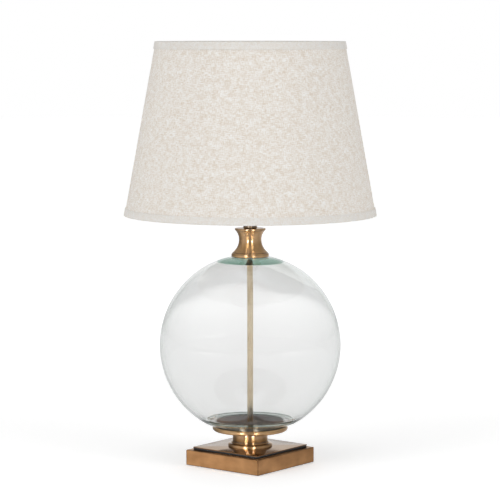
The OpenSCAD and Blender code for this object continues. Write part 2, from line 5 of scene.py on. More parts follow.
import bmesh
import bpy
from mathutils import Matrix, Vector


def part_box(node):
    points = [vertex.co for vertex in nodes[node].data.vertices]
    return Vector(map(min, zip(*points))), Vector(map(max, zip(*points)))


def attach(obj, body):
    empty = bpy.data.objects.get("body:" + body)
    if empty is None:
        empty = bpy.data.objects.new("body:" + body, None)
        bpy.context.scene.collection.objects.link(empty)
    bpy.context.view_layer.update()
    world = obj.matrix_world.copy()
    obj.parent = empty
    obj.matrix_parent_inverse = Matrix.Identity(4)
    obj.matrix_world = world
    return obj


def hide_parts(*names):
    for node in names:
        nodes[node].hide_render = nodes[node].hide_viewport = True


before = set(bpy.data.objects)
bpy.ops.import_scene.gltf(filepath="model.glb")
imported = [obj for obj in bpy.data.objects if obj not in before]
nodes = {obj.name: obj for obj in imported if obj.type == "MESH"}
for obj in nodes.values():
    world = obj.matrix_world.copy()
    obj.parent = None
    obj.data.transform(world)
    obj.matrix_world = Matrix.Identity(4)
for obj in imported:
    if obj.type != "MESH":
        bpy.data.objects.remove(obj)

bpy.context.view_layer.update()
scene = bpy.context.scene
mm = 0.001


# The camera: a long lens in front of the base's near corner, at the height of the shade's top.
# The focal length is the one that a picture 500 pixels wide needs.
picture_px = 500
focal_px = 2204
sensor_w = 36
camera_turn = radians(38.38)
camera_dip = radians(5.7296)
camera_away = 3.52722
camera_height = 0.70265
camera_aside = -0.00033
behind = Vector((-sin(camera_turn), cos(camera_turn), 0))
rightward = Vector((cos(camera_turn), sin(camera_turn), 0))

lens = bpy.data.cameras.new("camera")
lens.sensor_width = sensor_w
lens.lens = focal_px / picture_px * sensor_w
camera = bpy.data.objects.new("camera", lens)
camera.location = -behind * camera_away + rightward * camera_aside + Vector((0, 0, camera_height))
camera.rotation_euler = (pi / 2 - camera_dip, 0, camera_turn)
scene.collection.objects.link(camera)
scene.camera = camera
scene.view_settings.view_transform = "Standard"


# The room: what lights the lamp, and what its metal mirrors of a studio. That is a white backdrop,
# dim grey walls and two tall soft strips of light either side of the camera, which only metal
# mirrors. The camera, and rays through glass, see plain white.
glass_peak = 0.75
room_walls = [(-180, 1.0), (-169, 0.90), (-152, 0.20), (-116, 0.22), (-104, 0.36), (-92, 0.60),
              (-80, 0.80), (-66, 0.98), (-46, 0.98), (-36, 0.70), (-11, 0.42), (0, 0.32), (8, 0.42),
              (33, 0.62), (50, 0.56), (76, 0.50), (92, 0.38), (106, 0.24), (130, 0.28),
              (152, 0.36), (168, 0.95), (180, 1.0)]
strips = [(-25, 5.5, 29.0), (19.5, 5.0, 25.0)]
strip_low, strip_top = 8, 14


def node(tree, kind, inputs=None, **settings):
    """A new shader node with its settings, and its inputs as values or as sockets to feed them."""
    made = tree.nodes.new("ShaderNode" + kind)
    for name, value in settings.items():
        setattr(made, name, value)
    for key, value in (inputs or {}).items():
        if isinstance(value, bpy.types.NodeSocket):
            tree.links.new(value, made.inputs[key])
        else:
            made.inputs[key].default_value = value
    return made


def calc(tree, how, a, b=0.0, clamp=False):
    """One step of arithmetic on sockets or numbers."""
    return node(tree, "Math", {0: a, 1: b}, operation=how, use_clamp=clamp).outputs[0]


def ramp(tree, value, stops):
    """A colour or grey looked up along value: stops are pairs of a place and a grey or a colour."""
    made = node(tree, "ValToRGB", {0: value})
    spots = made.color_ramp.elements
    while len(spots) < len(stops):
        spots.new(1)
    for spot, (at, shade) in zip(spots, stops):
        spot.position = at
        spot.color = (*((shade,) * 3 if isinstance(shade, float) else shade), 1)
    return made.outputs[0]


def span(tree, value, low, high, start=0.0, end=1.0):
    """Value moved from the range low to high into start to end, and held there."""
    return node(tree, "MapRange", {0: value, 1: low, 2: high, 3: start, 4: end}).outputs[0]


room = bpy.data.worlds.new("room")
room.use_nodes = True
tree = room.node_tree
tree.nodes.clear()
looking = node(tree, "TexCoord").outputs["Generated"]
to_right = node(tree, "VectorMath", {0: looking, 1: rightward}, operation="DOT_PRODUCT").outputs[1]
to_front = node(tree, "VectorMath", {0: looking, 1: -behind}, operation="DOT_PRODUCT").outputs[1]
turn = calc(tree, "ARCTAN2", to_right, to_front)
round_room = span(tree, turn, -pi, pi)
level = ramp(tree, round_room, [((at + 180) / 360, grey) for at, grey in room_walls])
up = node(tree, "SeparateXYZ", {0: looking}).outputs[2]
reach = span(tree, up, sin(radians(strip_top)), sin(radians(strip_low)))
rays = node(tree, "LightPath").outputs
metal = calc(tree, "SUBTRACT", rays["Is Glossy Ray"], rays["Is Singular Ray"], clamp=True)
reach = calc(tree, "MULTIPLY", reach, metal)
for middle, half, glow in strips:
    aside = calc(tree, "ABSOLUTE", calc(tree, "SUBTRACT", turn, radians(middle)))
    share = span(tree, aside, radians(half + 1.5), radians(half - 1.5), 0.0, glow)
    level = calc(tree, "ADD", level, calc(tree, "MULTIPLY", share, reach))
seen = calc(tree, "MAXIMUM", rays["Is Camera Ray"], rays["Is Transmission Ray"])
held = calc(tree, "MINIMUM", level, glass_peak)
level = node(tree, "Mix", {0: rays["Is Singular Ray"], 2: level, 3: held}).outputs[0]
lit = node(tree, "Background", {0: (1, 1, 1, 1), 1: level})
white = node(tree, "Background", {0: (1, 1, 1, 1), 1: 1})
shown = node(tree, "MixShader", {0: seen, 1: lit.outputs[0], 2: white.outputs[0]})
node(tree, "OutputWorld", {"Surface": shown.outputs[0]})
scene.world = room


# The lamps: two broad soft boxes either side of the camera, one behind and one overhead. They
# only shade the lamp softly, and metal and glass mirror the room instead.
def soft_box(name, side, away, height, w, h, glow):
    """A lit panel that faces the lamp, side degrees round from the camera's direction."""
    panel = bpy.data.lights.new(name, "AREA")
    panel.shape = "RECTANGLE"
    panel.size = w
    panel.size_y = h
    panel.energy = glow * w * h * pi
    made = bpy.data.objects.new(name, panel)
    spot = -behind * cos(radians(side)) * away + rightward * sin(radians(side)) * away
    made.location = spot + Vector((0, 0, height))
    facing = Vector((0, 0, 0.35)) - made.location
    made.rotation_euler = facing.to_track_quat("-Z", "Y").to_euler()
    made.visible_glossy = False
    made.visible_transmission = False
    scene.collection.objects.link(made)


soft_box("soft_box_left", side=-50, away=2.6, height=0.75, w=1.2, h=1.7, glow=3.9)
soft_box("soft_box_right", side=54, away=2.6, height=0.75, w=1.2, h=1.7, glow=4.4)
soft_box("soft_box_back", side=180, away=2.6, height=1.0, w=1.6, h=1.2, glow=1.2)
soft_box("overhead", side=0, away=0.5, height=2.4, w=1.6, h=1.6, glow=0.55)


# The floor: a plain pale sweep. It glows a little to the camera, so that it reads as white and
# still carries the lamp's shadow. To metal it shows only a glow set brighter or darker round the
# lamp, a painted reflection of the floor.
floor_r = 14.0
floor_white = 0.88
floor_lift = 0.38
floor_through = 0.21
floor_mirrored = [(-180, 0.9), (-160, 0.4), (-130, 0.16), (-104, 0.36), (-82, 0.82), (-50, 1.0),
                  (-30, 0.8), (0, 0.50), (24, 0.75), (44, 0.90), (62, 0.74), (80, 0.62), (104, 0.54),
                  (180, 0.9)]


def finish(name, **sockets):
    """A material with one Principled shader. A socket is named in lower case, as coat_weight."""
    made = bpy.data.materials.new(name)
    made.use_nodes = True
    shader = made.node_tree.nodes["Principled BSDF"]
    names = {s.name.lower().replace(" ", "_"): s for s in shader.inputs}
    for name, value in sockets.items():
        names[name].default_value = (*value, 1) if isinstance(value, tuple) else value
    return made


def feed(material, socket, value):
    """Feeds one socket of a material's Principled shader."""
    tree = material.node_tree
    tree.links.new(value, tree.nodes["Principled BSDF"].inputs[socket])


def placed(bm, name, material):
    """An object made of the bmesh, in that finish, smooth but for its sharp edges."""
    mesh = bpy.data.meshes.new(name)
    bm.to_mesh(mesh)
    bm.free()
    mesh.shade_smooth()
    mesh.set_sharp_from_angle(angle=radians(38))
    mesh.materials.append(material)
    made = bpy.data.objects.new(name, mesh)
    scene.collection.objects.link(made)
    return made


floor_paint = finish("floor_paint", roughness=0.9, specular_ior_level=0.1)
tree = floor_paint.node_tree
rays = node(tree, "LightPath").outputs
spot = node(tree, "TexCoord").outputs["Object"]
far = node(tree, "VectorMath", {0: spot}, operation="LENGTH").outputs[1]
lift = calc(tree, "MULTIPLY", rays["Is Camera Ray"], floor_lift)
lift = calc(tree, "ADD", lift, calc(tree, "MULTIPLY", rays["Is Transmission Ray"], floor_through))
lift = calc(tree, "MULTIPLY", lift, span(tree, far, 0.6, 2.4, 1.0, 1.5))
dust = node(tree, "TexNoise", {"Scale": 0.8, "Detail": 2.0}).outputs[0]
feed(floor_paint, "Base Color", ramp(tree, dust, [(0, floor_white), (1, floor_white - 0.005)]))
paint = tree.nodes["Principled BSDF"]
glow = node(tree, "Emission", {0: (1, 1, 1, 1), 1: lift})
both = node(tree, "AddShader", {0: paint.outputs[0], 1: glow.outputs[0]})
# What metal mirrors of the floor: a painted reflection, a glow set to one level for each direction round the lamp.
to_right = node(tree, "VectorMath", {0: spot, 1: rightward}, operation="DOT_PRODUCT").outputs[1]
to_front = node(tree, "VectorMath", {0: spot, 1: -behind}, operation="DOT_PRODUCT").outputs[1]
turn = span(tree, calc(tree, "ARCTAN2", to_right, to_front), -pi, pi)
level = ramp(tree, turn, [((at + 180) / 360, grey) for at, grey in floor_mirrored])
mirrored = node(tree, "Emission", {0: (1, 1, 1, 1), 1: level})
metal = calc(tree, "SUBTRACT", rays["Is Glossy Ray"], rays["Is Singular Ray"], clamp=True)
shown = node(tree, "MixShader", {0: metal, 1: both.outputs[0], 2: mirrored.outputs[0]})
tree.links.new(shown.outputs[0], tree.nodes["Material Output"].inputs["Surface"])
bm = bmesh.new()
bmesh.ops.create_circle(bm, cap_ends=True, radius=floor_r, segments=64)
floor = placed(bm, "floor", floor_paint)


# Felt pad: black pressed wool felt, glued under the bottom board so that the lamp doesn't scratch
# a table. The fibres show as short tangled hairs.
def spot_mm(tree):
    """The place on the piece, in millimetres."""
    coords = node(tree, "TexCoord").outputs["Object"]
    return node(tree, "Mapping", {"Vector": coords, "Scale": (1000,) * 3}).outputs[0]


def grain(tree, at, size, detail=2.0, rough=0.5, shift=0.0):
    """Soft noise with features of that size in millimetres, one size or one for each axis."""
    sizes = size if isinstance(size, tuple) else (size,) * 3
    scaled = node(tree, "Mapping", {"Vector": at, "Location": (shift,) * 3,
                                    "Scale": tuple(1 / s for s in sizes)}).outputs[0]
    made = node(tree, "TexNoise", {"Vector": scaled, "Scale": 1.0, "Detail": detail,
                                   "Roughness": rough})
    return made.outputs[0]


def tint(tree, share, under, over, how="MIX"):
    """One colour over another by share."""
    flat = [(*c, 1) if isinstance(c, tuple) else c for c in (under, over)]
    return node(tree, "Mix", {0: share, 6: flat[0], 7: flat[1]}, data_type="RGBA",
                blend_type=how).outputs[2]


def relief(material, height, depth):
    """Raises the surface by height, a socket from 0 to 1, times depth in millimetres."""
    bump = node(material.node_tree, "Bump", {"Height": height, "Distance": depth * mm})
    feed(material, "Normal", bump.outputs[0])


def coat_nodes(material, *names):
    """Gives CAD nodes that finish."""
    for name in names:
        for held in nodes[name].material_slots:
            held.material = material


felt = finish("felt", roughness=0.95, sheen_weight=0.35, sheen_roughness=0.5)
tree = felt.node_tree
at = spot_mm(tree)
hairs = grain(tree, at, (0.25, 1.6, 0.4), detail=4.0)
cross = grain(tree, at, (1.6, 0.25, 0.4), detail=4.0, shift=7.0)
nap = calc(tree, "MAXIMUM", hairs, cross)
feed(felt, "Base Color", ramp(tree, nap, [(0.40, (0.012, 0.012, 0.013)), (0.75, (0.05, 0.05, 0.052))]))
relief(felt, nap, 0.3)
coat_nodes(felt, "felt_pad")


# Bottom board, weight, washer and nut: a hardboard square closes the pan, an oiled iron plate
# under its top steadies the lamp, and a zinc plated washer and nut pull the centre tube down.
hardboard = finish("hardboard", roughness=0.8)
tree = hardboard.node_tree
at = spot_mm(tree)
fibre = grain(tree, at, (0.5, 3.0, 1.0), detail=5.0)
feed(hardboard, "Base Color", ramp(tree, fibre, [(0.3, (0.13, 0.075, 0.04)), (0.7, (0.24, 0.15, 0.085))]))
relief(hardboard, fibre, 0.1)
coat_nodes(hardboard, "bottom_board")

iron = finish("oiled_iron", metallic=1.0, roughness=0.45)
tree = iron.node_tree
at = spot_mm(tree)
scale = grain(tree, at, 5.0, detail=6.0, rough=0.65)
feed(iron, "Base Color", ramp(tree, scale, [(0.35, (0.10, 0.10, 0.11)), (0.65, (0.24, 0.23, 0.22))]))
feed(iron, "Roughness", span(tree, scale, 0.3, 0.7, 0.35, 0.65))
relief(iron, scale, 0.15)
coat_nodes(iron, "base_weight")

zinc = finish("zinc_plate", metallic=1.0, roughness=0.32)
tree = zinc.node_tree
at = spot_mm(tree)
spangle = grain(tree, at, 1.4, detail=3.0)
feed(zinc, "Base Color", ramp(tree, spangle, [(0.35, (0.52, 0.53, 0.55)), (0.65, (0.70, 0.70, 0.68))]))
feed(zinc, "Roughness", span(tree, spangle, 0.3, 0.7, 0.24, 0.42))
relief(zinc, grain(tree, at, 0.2), 0.01)
coat_nodes(zinc, "base_washer", "base_nut", "grub_screw", "bulb_contact")


# Base cover: a pan pressed from brass sheet, brushed along its sides, toned to an antique
# coppery brown and lacquered. Painted shade darkens a thin line along its top and bottom edges,
# where it meets the board and the floor, and the tone stays dark in a thin line down each corner.
cover_low, cover_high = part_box("base_cover")
brushed_light = (0.730, 0.385, 0.165)
brushed_dark = (0.480, 0.235, 0.092)
brushed_edge_shade = (0.150, 0.070, 0.028)
edge_line = 1.4

brushed_brass = finish("brushed_brass", metallic=1.0, roughness=0.36, specular_tint=(0.80, 0.72, 0.62),
                       coat_weight=0.25, coat_roughness=0.22, anisotropic=0.9,
                       anisotropic_rotation=0.25)
tree = brushed_brass.node_tree
at = spot_mm(tree)
x, y, z = node(tree, "SeparateXYZ", {0: at}).outputs
lines = grain(tree, at, (26.0, 26.0, 0.22), detail=3.0, rough=0.6)
hair = grain(tree, at, (9.0, 9.0, 0.09), detail=1.0, shift=3.0)
streaks = grain(tree, at, (13.0, 13.0, 60.0), detail=1.0, rough=0.4)
clouds = grain(tree, at, (34.0, 34.0, 18.0), detail=2.0, shift=11.0)
tone = tint(tree, 0.75, streaks, clouds)
shade = tint(tree, span(tree, tone, 0.34, 0.66), brushed_light, brushed_dark)
shade = tint(tree, span(tree, lines, 0.35, 0.75, 0.0, 0.34), shade, brushed_dark)
half = cover_high.x / mm
# Painted shade along the top and bottom edges, and a dark line down each corner.
outer = calc(tree, "MINIMUM", calc(tree, "ABSOLUTE", x), calc(tree, "ABSOLUTE", y))
corner = span(tree, outer, half - edge_line * 1.6, half - 0.2)
brim = span(tree, z, cover_high.z / mm - edge_line, cover_high.z / mm - 0.1)
foot = span(tree, z, cover_low.z / mm + edge_line, cover_low.z / mm + 0.1)
edge_shade = calc(tree, "MAXIMUM", corner, calc(tree, "MAXIMUM", calc(tree, "MULTIPLY", brim, 0.6), foot))
edge_shade = calc(tree, "MULTIPLY", edge_shade, span(tree, clouds, 0.3, 0.6, 0.7, 1.0))
feed(brushed_brass, "Base Color", tint(tree, edge_shade, shade, brushed_edge_shade))
feed(brushed_brass, "Roughness", span(tree, lines, 0.3, 0.7, 0.36, 0.48))
relief(brushed_brass, calc(tree, "ADD", lines, calc(tree, "MULTIPLY", hair, 0.5)), 0.012)
coat_nodes(brushed_brass, "base_cover")


# Cable bush: a moulded black nylon bush snapped into the back wall of the base, where a cable
# would enter. It has the fine spark texture of its mould.
nylon = finish("black_nylon", roughness=0.38, base_color=(0.02, 0.02, 0.021))
tree = nylon.node_tree
at = spot_mm(tree)
spark = grain(tree, at, 0.12, detail=2.0)
wear = grain(tree, at, 3.0, detail=3.0)
feed(nylon, "Base Color", ramp(tree, wear, [(0.35, (0.016, 0.016, 0.017)), (0.7, (0.034, 0.034, 0.036))]))
feed(nylon, "Roughness", span(tree, spark, 0.3, 0.7, 0.30, 0.46))
relief(nylon, spark, 0.015)
coat_nodes(nylon, "cable_bush")


# Plinth board and top plate: a black lacquered board carries a thin square of polished brass,
# which is brushed so lightly that it still mirrors the room. Both have the hole for the tube.
board_low, board_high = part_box("plinth_board")
plate_low, plate_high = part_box("top_plate")
tube_hole = 5.0 * mm
hole_steps = 48
board_soft = 0.25 * mm
plate_soft = 0.22 * mm


def holed_square(low, high, soft):
    """A square board with a round hole in the middle and softened outer edges."""
    bm = bmesh.new()
    hole = bmesh.ops.create_circle(bm, radius=tube_hole, segments=hole_steps)["verts"]
    rim = bmesh.ops.create_circle(bm, radius=1.0, segments=hole_steps)["verts"]
    for v in rim:
        v.co.xy *= high.x / max(abs(v.co.x), abs(v.co.y))
    sheet = bmesh.ops.bridge_loops(bm, edges=bm.edges[:])["faces"]
    bmesh.ops.recalc_face_normals(bm, faces=sheet)
    if sheet[0].normal.z > 0:
        bmesh.ops.reverse_faces(bm, faces=sheet)
    bmesh.ops.translate(bm, verts=bm.verts, vec=(0, 0, low.z))
    raised = bmesh.ops.extrude_face_region(bm, geom=bm.faces[:], use_keep_orig=True)["geom"]
    lifted = [g for g in raised if isinstance(g, bmesh.types.BMVert)]
    bmesh.ops.translate(bm, verts=lifted, vec=(0, 0, high.z - low.z))
    bmesh.ops.recalc_face_normals(bm, faces=bm.faces)
    outside = [e for e in bm.edges if len(e.link_faces) == 2 and e.calc_face_angle() > radians(60)
               and min(max(abs(v.co.x), abs(v.co.y)) for v in e.verts) > high.x - mm]
    bmesh.ops.bevel(bm, geom=outside, offset=soft, segments=3, profile=0.5, affect="EDGES",
                    material=-1)
    return bm


lacquer = finish("black_lacquer", roughness=0.34, coat_weight=0.2, coat_roughness=0.2)
tree = lacquer.node_tree
at = spot_mm(tree)
open_pores = grain(tree, at, (6.0, 0.5, 0.5), detail=3.0)
feed(lacquer, "Base Color", ramp(tree, open_pores, [(0.35, (0.008, 0.009, 0.010)), (0.7, (0.024, 0.025, 0.027))]))
feed(lacquer, "Roughness", span(tree, open_pores, 0.3, 0.7, 0.28, 0.45))
relief(lacquer, open_pores, 0.02)
board = placed(holed_square(board_low, board_high, board_soft), "black_board", lacquer)
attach(board, "lamp")
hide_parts("plinth_board")

plate_brass = finish("plate_brass", metallic=1.0, roughness=0.16, specular_tint=(0.70, 0.72, 0.74))
tree = plate_brass.node_tree
at = spot_mm(tree)
x, y, z = node(tree, "SeparateXYZ", {0: at}).outputs
strokes = grain(tree, at, (0.35, 34.0, 1.0), detail=3.0, rough=0.6)
smears = grain(tree, at, (16.0, 30.0, 20.0), detail=3.0, shift=5.0)
half = plate_high.x / mm
outer = calc(tree, "MAXIMUM", calc(tree, "ABSOLUTE", x), calc(tree, "ABSOLUTE", y))
rim = span(tree, outer, half - 0.9, half - 0.1)
shade = tint(tree, span(tree, strokes, 0.3, 0.7, 0.0, 0.5), (0.60, 0.44, 0.31), (0.55, 0.38, 0.25))
shade = tint(tree, span(tree, smears, 0.4, 0.7, 0.0, 0.4), shade, (0.50, 0.35, 0.23))
feed(plate_brass, "Base Color", tint(tree, rim, shade, (0.30, 0.16, 0.075)))
feed(plate_brass, "Roughness", span(tree, smears, 0.3, 0.7, 0.12, 0.20))
relief(plate_brass, strokes, 0.003)
plate = placed(holed_square(plate_low, plate_high, plate_soft), "brass_plate", plate_brass)
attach(plate, "lamp")
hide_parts("top_plate")


# Foot ring: a solid brass ogee moulding, turned on a lathe, brushed while it ran, toned dark in
# its corners and lacquered, with painted shade where it meets the plate and the pedestal. The
# finish is shared by the pedestal, the dish and the neck.
brass_light = (0.740, 0.435, 0.175)
brass_dark = (0.530, 0.288, 0.102)
patina_and_shade = (0.085, 0.044, 0.018)
turning_steps = 144


def arc(centre_r, centre_z, r, start, end, steps):
    """Points of a round stretch of a half section, from one angle to another in degrees."""
    angles = [radians(start + (end - start) * n / steps) for n in range(steps + 1)]
    return [(centre_r + r * cos(a), centre_z + r * sin(a)) for a in angles]


def turned(outline, foot=0.0, soft=0.0, steps=turning_steps):
    """A bmesh turned about the lamp's axis from a closed half section: radii, and heights over
    foot, in millimetres. Its sharp corners are rounded by soft millimetres."""
    bm = bmesh.new()
    corners = [bm.verts.new((r * mm, 0, foot + z * mm)) for r, z in outline]
    bm.faces.new(corners)
    if soft:
        around = zip(corners[-1:] + corners[:-1], corners, corners[1:] + corners[:1])
        sharp = [v for a, v, b in around if (v.co - a.co).angle(b.co - v.co) > radians(25)]
        bmesh.ops.bevel(bm, geom=sharp, offset=soft * mm, offset_type="OFFSET", segments=4,
                        profile=0.5, affect="VERTICES", material=-1)
    bmesh.ops.delete(bm, geom=bm.faces[:], context="FACES_ONLY")
    bmesh.ops.spin(bm, geom=bm.verts[:] + bm.edges[:], cent=(0, 0, 0), axis=(0, 0, 1),
                   angle=2 * pi, steps=steps, use_merge=True)
    bmesh.ops.remove_doubles(bm, verts=bm.verts, dist=1e-7)
    bmesh.ops.recalc_face_normals(bm, faces=bm.faces)
    return bm


def turned_finish(name, light, dark, patina_and_shade_bands, rough=(0.34, 0.42)):
    """Brass brushed on the lathe: lines round the axis, soft clouds of tone, and dark bands at
    heights given as pairs of a height and a half width in millimetres: oxide in the turned hollows
    and painted shade where parts meet and under the neck's flange."""
    made = finish(name, metallic=1.0, specular_tint=(0.86, 0.78, 0.66), coat_weight=0.9,
                  coat_roughness=0.14, coat_ior=1.8, anisotropic=0.97, anisotropic_rotation=0.25)
    tree = made.node_tree
    at = spot_mm(tree)
    x, y, z = node(tree, "SeparateXYZ", {0: at}).outputs
    level = node(tree, "CombineXYZ", {0: x, 1: y}).outputs[0]
    out = node(tree, "VectorMath", {0: level}, operation="LENGTH").outputs[1]
    ringed = node(tree, "CombineXYZ", {0: out, 1: z, 2: calc(tree, "MULTIPLY", x, 0.02)}).outputs[0]
    lines = grain(tree, ringed, 0.30, detail=3.0, rough=0.65)
    clouds = grain(tree, at, (14.0, 14.0, 9.0), detail=3.0, shift=2.0)
    specks = grain(tree, at, 0.5, detail=2.0, shift=9.0)
    tone = tint(tree, span(tree, clouds, 0.35, 0.68, 0.0, 0.75), light, dark)
    tone = tint(tree, span(tree, lines, 0.35, 0.75, 0.0, 0.35), tone, dark)
    tone = tint(tree, span(tree, specks, 0.70, 0.80, 0.0, 0.5), tone, patina_and_shade)
    # Dark bands: patina in the grooves, and painted shade where parts meet and under a flange.
    for height, half in patina_and_shade_bands:
        away = calc(tree, "ABSOLUTE", calc(tree, "SUBTRACT", z, height))
        held = span(tree, away, half, half * 0.3, 0.0, 0.8)
        tone = tint(tree, calc(tree, "MULTIPLY", held, span(tree, clouds, 0.3, 0.7, 0.7, 1.0)), tone, patina_and_shade)
    feed(made, "Base Color", tone)
    feed(made, "Roughness", span(tree, lines, 0.3, 0.7, *rough))
    relief(made, lines, 0.008)
    return made


foot_low, foot_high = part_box("foot_ring")
foot_r = foot_high.x / mm
foot_land = 2.4
foot_swell = 3.4
foot_hollow = 2.4
bore = 5.0
foot_line = foot_low.z / mm + foot_land + foot_swell
# Lines at its foot and top: painted shade against the plate and the pedestal; the middle one is patina.
foot_brass = turned_finish("foot_brass", brass_light, brass_dark,
                           [(foot_low.z / mm, 0.6), (foot_line, 0.7), (foot_high.z / mm, 0.9)])
section = [(bore, 0), (foot_r, 0)]
section += arc(foot_r - foot_swell, foot_land, foot_swell, 0, 90, 10)
section += arc(foot_r - foot_swell, foot_land + foot_swell + foot_hollow, foot_hollow, -90, -180, 8)[1:]
section += [(bore, foot_land + foot_swell + foot_hollow)]
foot_turning = placed(turned(section, foot_low.z, soft=0.25), "foot_moulding", foot_brass)
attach(foot_turning, "lamp")
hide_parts("foot_ring")


# Pedestal: a short turned drum with a narrow bead at its foot and another under the dish.
pedestal_low, pedestal_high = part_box("pedestal")
drum_h = (pedestal_high.z - pedestal_low.z) / mm
bead_r = 0.7
drum_r = pedestal_high.x / mm - 0.6
# Lines at its foot and top: painted shade against the foot ring and the dish; those by the beads are patina.
pedestal_brass = turned_finish("pedestal_brass", brass_light, brass_dark,
                               [(pedestal_low.z / mm + 2 * bead_r, 0.45), (pedestal_low.z / mm, 0.4),
                                (pedestal_high.z / mm - 2 * bead_r, 0.45), (pedestal_high.z / mm, 0.5)])
bead_x = pedestal_high.x / mm - bead_r
section = [(bore, 0), *arc(bead_x, bead_r, bead_r, -90, 90, 8), (drum_r, 2 * bead_r + 0.15)]
section += [(drum_r, drum_h - 2 * bead_r - 0.15), *arc(bead_x, drum_h - bead_r, bead_r, -90, 90, 8)]
section += [(bore, drum_h)]
pedestal_turning = placed(turned(section, pedestal_low.z), "pedestal_drum", pedestal_brass)
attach(pedestal_turning, "lamp")
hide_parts("pedestal")


# Glass dish: a turned brass plate with a bull-nosed rim, a shallow channel behind the rim and a
# raised seat, on which the glass stands. Channel and seat are left satin, without lacquer, and
# are painted dark for the shade under the glass.
dish_low, dish_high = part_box("glass_dish")
dish_r = dish_high.x / mm
nose_r = 3.6
channel_r = dish_r - 3.4
seat_r = dish_r - 5
dish_h = (dish_high.z - dish_low.z) / mm
satin_seat_in_shade = (0.19, 0.17, 0.135)
# The line at its foot is painted shade where it sits on the pedestal.
dish_brass = turned_finish("dish_brass", brass_light, brass_dark,
                           [(dish_low.z / mm, 0.5)])
tree = dish_brass.node_tree
x, y, z = node(tree, "SeparateXYZ", {0: spot_mm(tree)}).outputs
level = node(tree, "CombineXYZ", {0: x, 1: y}).outputs[0]
out = node(tree, "VectorMath", {0: level}, operation="LENGTH").outputs[1]
# Channel and seat: satin brass without its lacquer coat, darkened as painted shade under the glass.
inward = span(tree, out, channel_r - 0.1, channel_r - 0.4)
raised = span(tree, z, dish_low.z / mm + nose_r, dish_low.z / mm + nose_r + 1)
bared_and_shaded = calc(tree, "MULTIPLY", inward, raised)
toned = tree.nodes["Principled BSDF"].inputs["Base Color"].links[0].from_socket
feed(dish_brass, "Base Color", tint(tree, bared_and_shaded, toned, satin_seat_in_shade))
feed(dish_brass, "Coat Weight", span(tree, bared_and_shaded, 0.0, 1.0, 0.9, 0.0))
section = [(bore, 0), *arc(dish_r - nose_r, nose_r, nose_r, -90, 86, 16)]
section += [(channel_r - 0.3, 2 * nose_r - 0.6), (seat_r, 2 * nose_r - 0.6)]
section += [(seat_r, dish_h), (bore, dish_h)]
dish = placed(turned(section, dish_low.z, soft=0.15), "brass_dish", dish_brass)
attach(dish, "lamp")
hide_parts("glass_dish")


# Seat pad, grommets and gasket: black rubber, punched and moulded. The pad keeps the glass off
# the brass, a wide plug on it centres the ball by its opening, a small grommet centres the tube in
# the top hole and the gasket lies under the neck.
rubber = finish("black_rubber", roughness=0.62)
tree = rubber.node_tree
at = spot_mm(tree)
bloom = grain(tree, at, 7.0, detail=4.0)
skin = grain(tree, at, 0.3, detail=2.0)
feed(rubber, "Base Color", ramp(tree, bloom, [(0.35, (0.030, 0.030, 0.032)), (0.7, (0.062, 0.061, 0.064))]))
feed(rubber, "Roughness", span(tree, bloom, 0.3, 0.7, 0.5, 0.75))
relief(rubber, skin, 0.03)
coat_nodes(rubber, "upper_grommet", "neck_gasket")

dusted = finish("dusted_rubber", roughness=0.80, sheen_weight=0.15)
tree = dusted.node_tree
at = spot_mm(tree)
bloom = grain(tree, at, 9.0, detail=5.0, rough=0.6)
feed(dusted, "Base Color", ramp(tree, bloom, [(0.35, (0.072, 0.067, 0.069)), (0.7, (0.106, 0.099, 0.102))]))
feed(dusted, "Roughness", span(tree, bloom, 0.3, 0.7, 0.72, 0.88))
relief(dusted, grain(tree, at, 0.4, detail=2.0, shift=4.0), 0.03)


def rubber_disc(node_name, name, material, soft):
    """A punched rubber disc in place of a CAD node, with the hole for the tube."""
    low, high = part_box(node_name)
    r, h = high.x / mm, (high.z - low.z) / mm
    made = placed(turned([(bore, 0), (r, 0), (r, h), (bore, h)], low.z, soft=soft), name, material)
    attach(made, "lamp")
    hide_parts(node_name)


rubber_disc("seat_pad", "rubber_pad", rubber, 0.4)
rubber_disc("lower_grommet", "rubber_plug", dusted, 0.3)


# Glass ball: clear soda glass with a faint green tint, blown in a mould and ground flat at both
# ends. Its floor is a ring round a wide opening with a melted lip, and under the neck it is
# solid, where the tint shows strongest. Light thrown about in it more often than a render
# follows is stood for by a faint glow, which no light from outside meets first.
globe_low, globe_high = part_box("glass_globe")
globe_r = globe_high.x / mm
globe_wall = 3.0
globe_heel = 5.0
floor_t = 3.0
floor_drop = 126.8
land_rise = 142.2
cap_t = 9.0
ceiling_round = 9.0
opening = 54.0
lip = 1.4
upper_hole = 7.2
globe_steps = 192
ceiling_slope = 0.018
ceiling_ripple = 0.35
seated = 0.06 * mm
touch_r = 59.0
heel_lift = 0.8
heel_lean = 0.8
heel_fade = 18.0
glass_green = (0.19, 0.50, 0.375)
glass_depth = 17.0
deep_turns = 4.5
deep_low = (0.06, 0.070, 0.066)
deep_high = (0.82, 0.82, 0.84)


def way_round(cx, cz, x, z):
    """The direction, in degrees, from a centre to a point of the section."""
    return degrees(atan2(z - cz, x - cx))


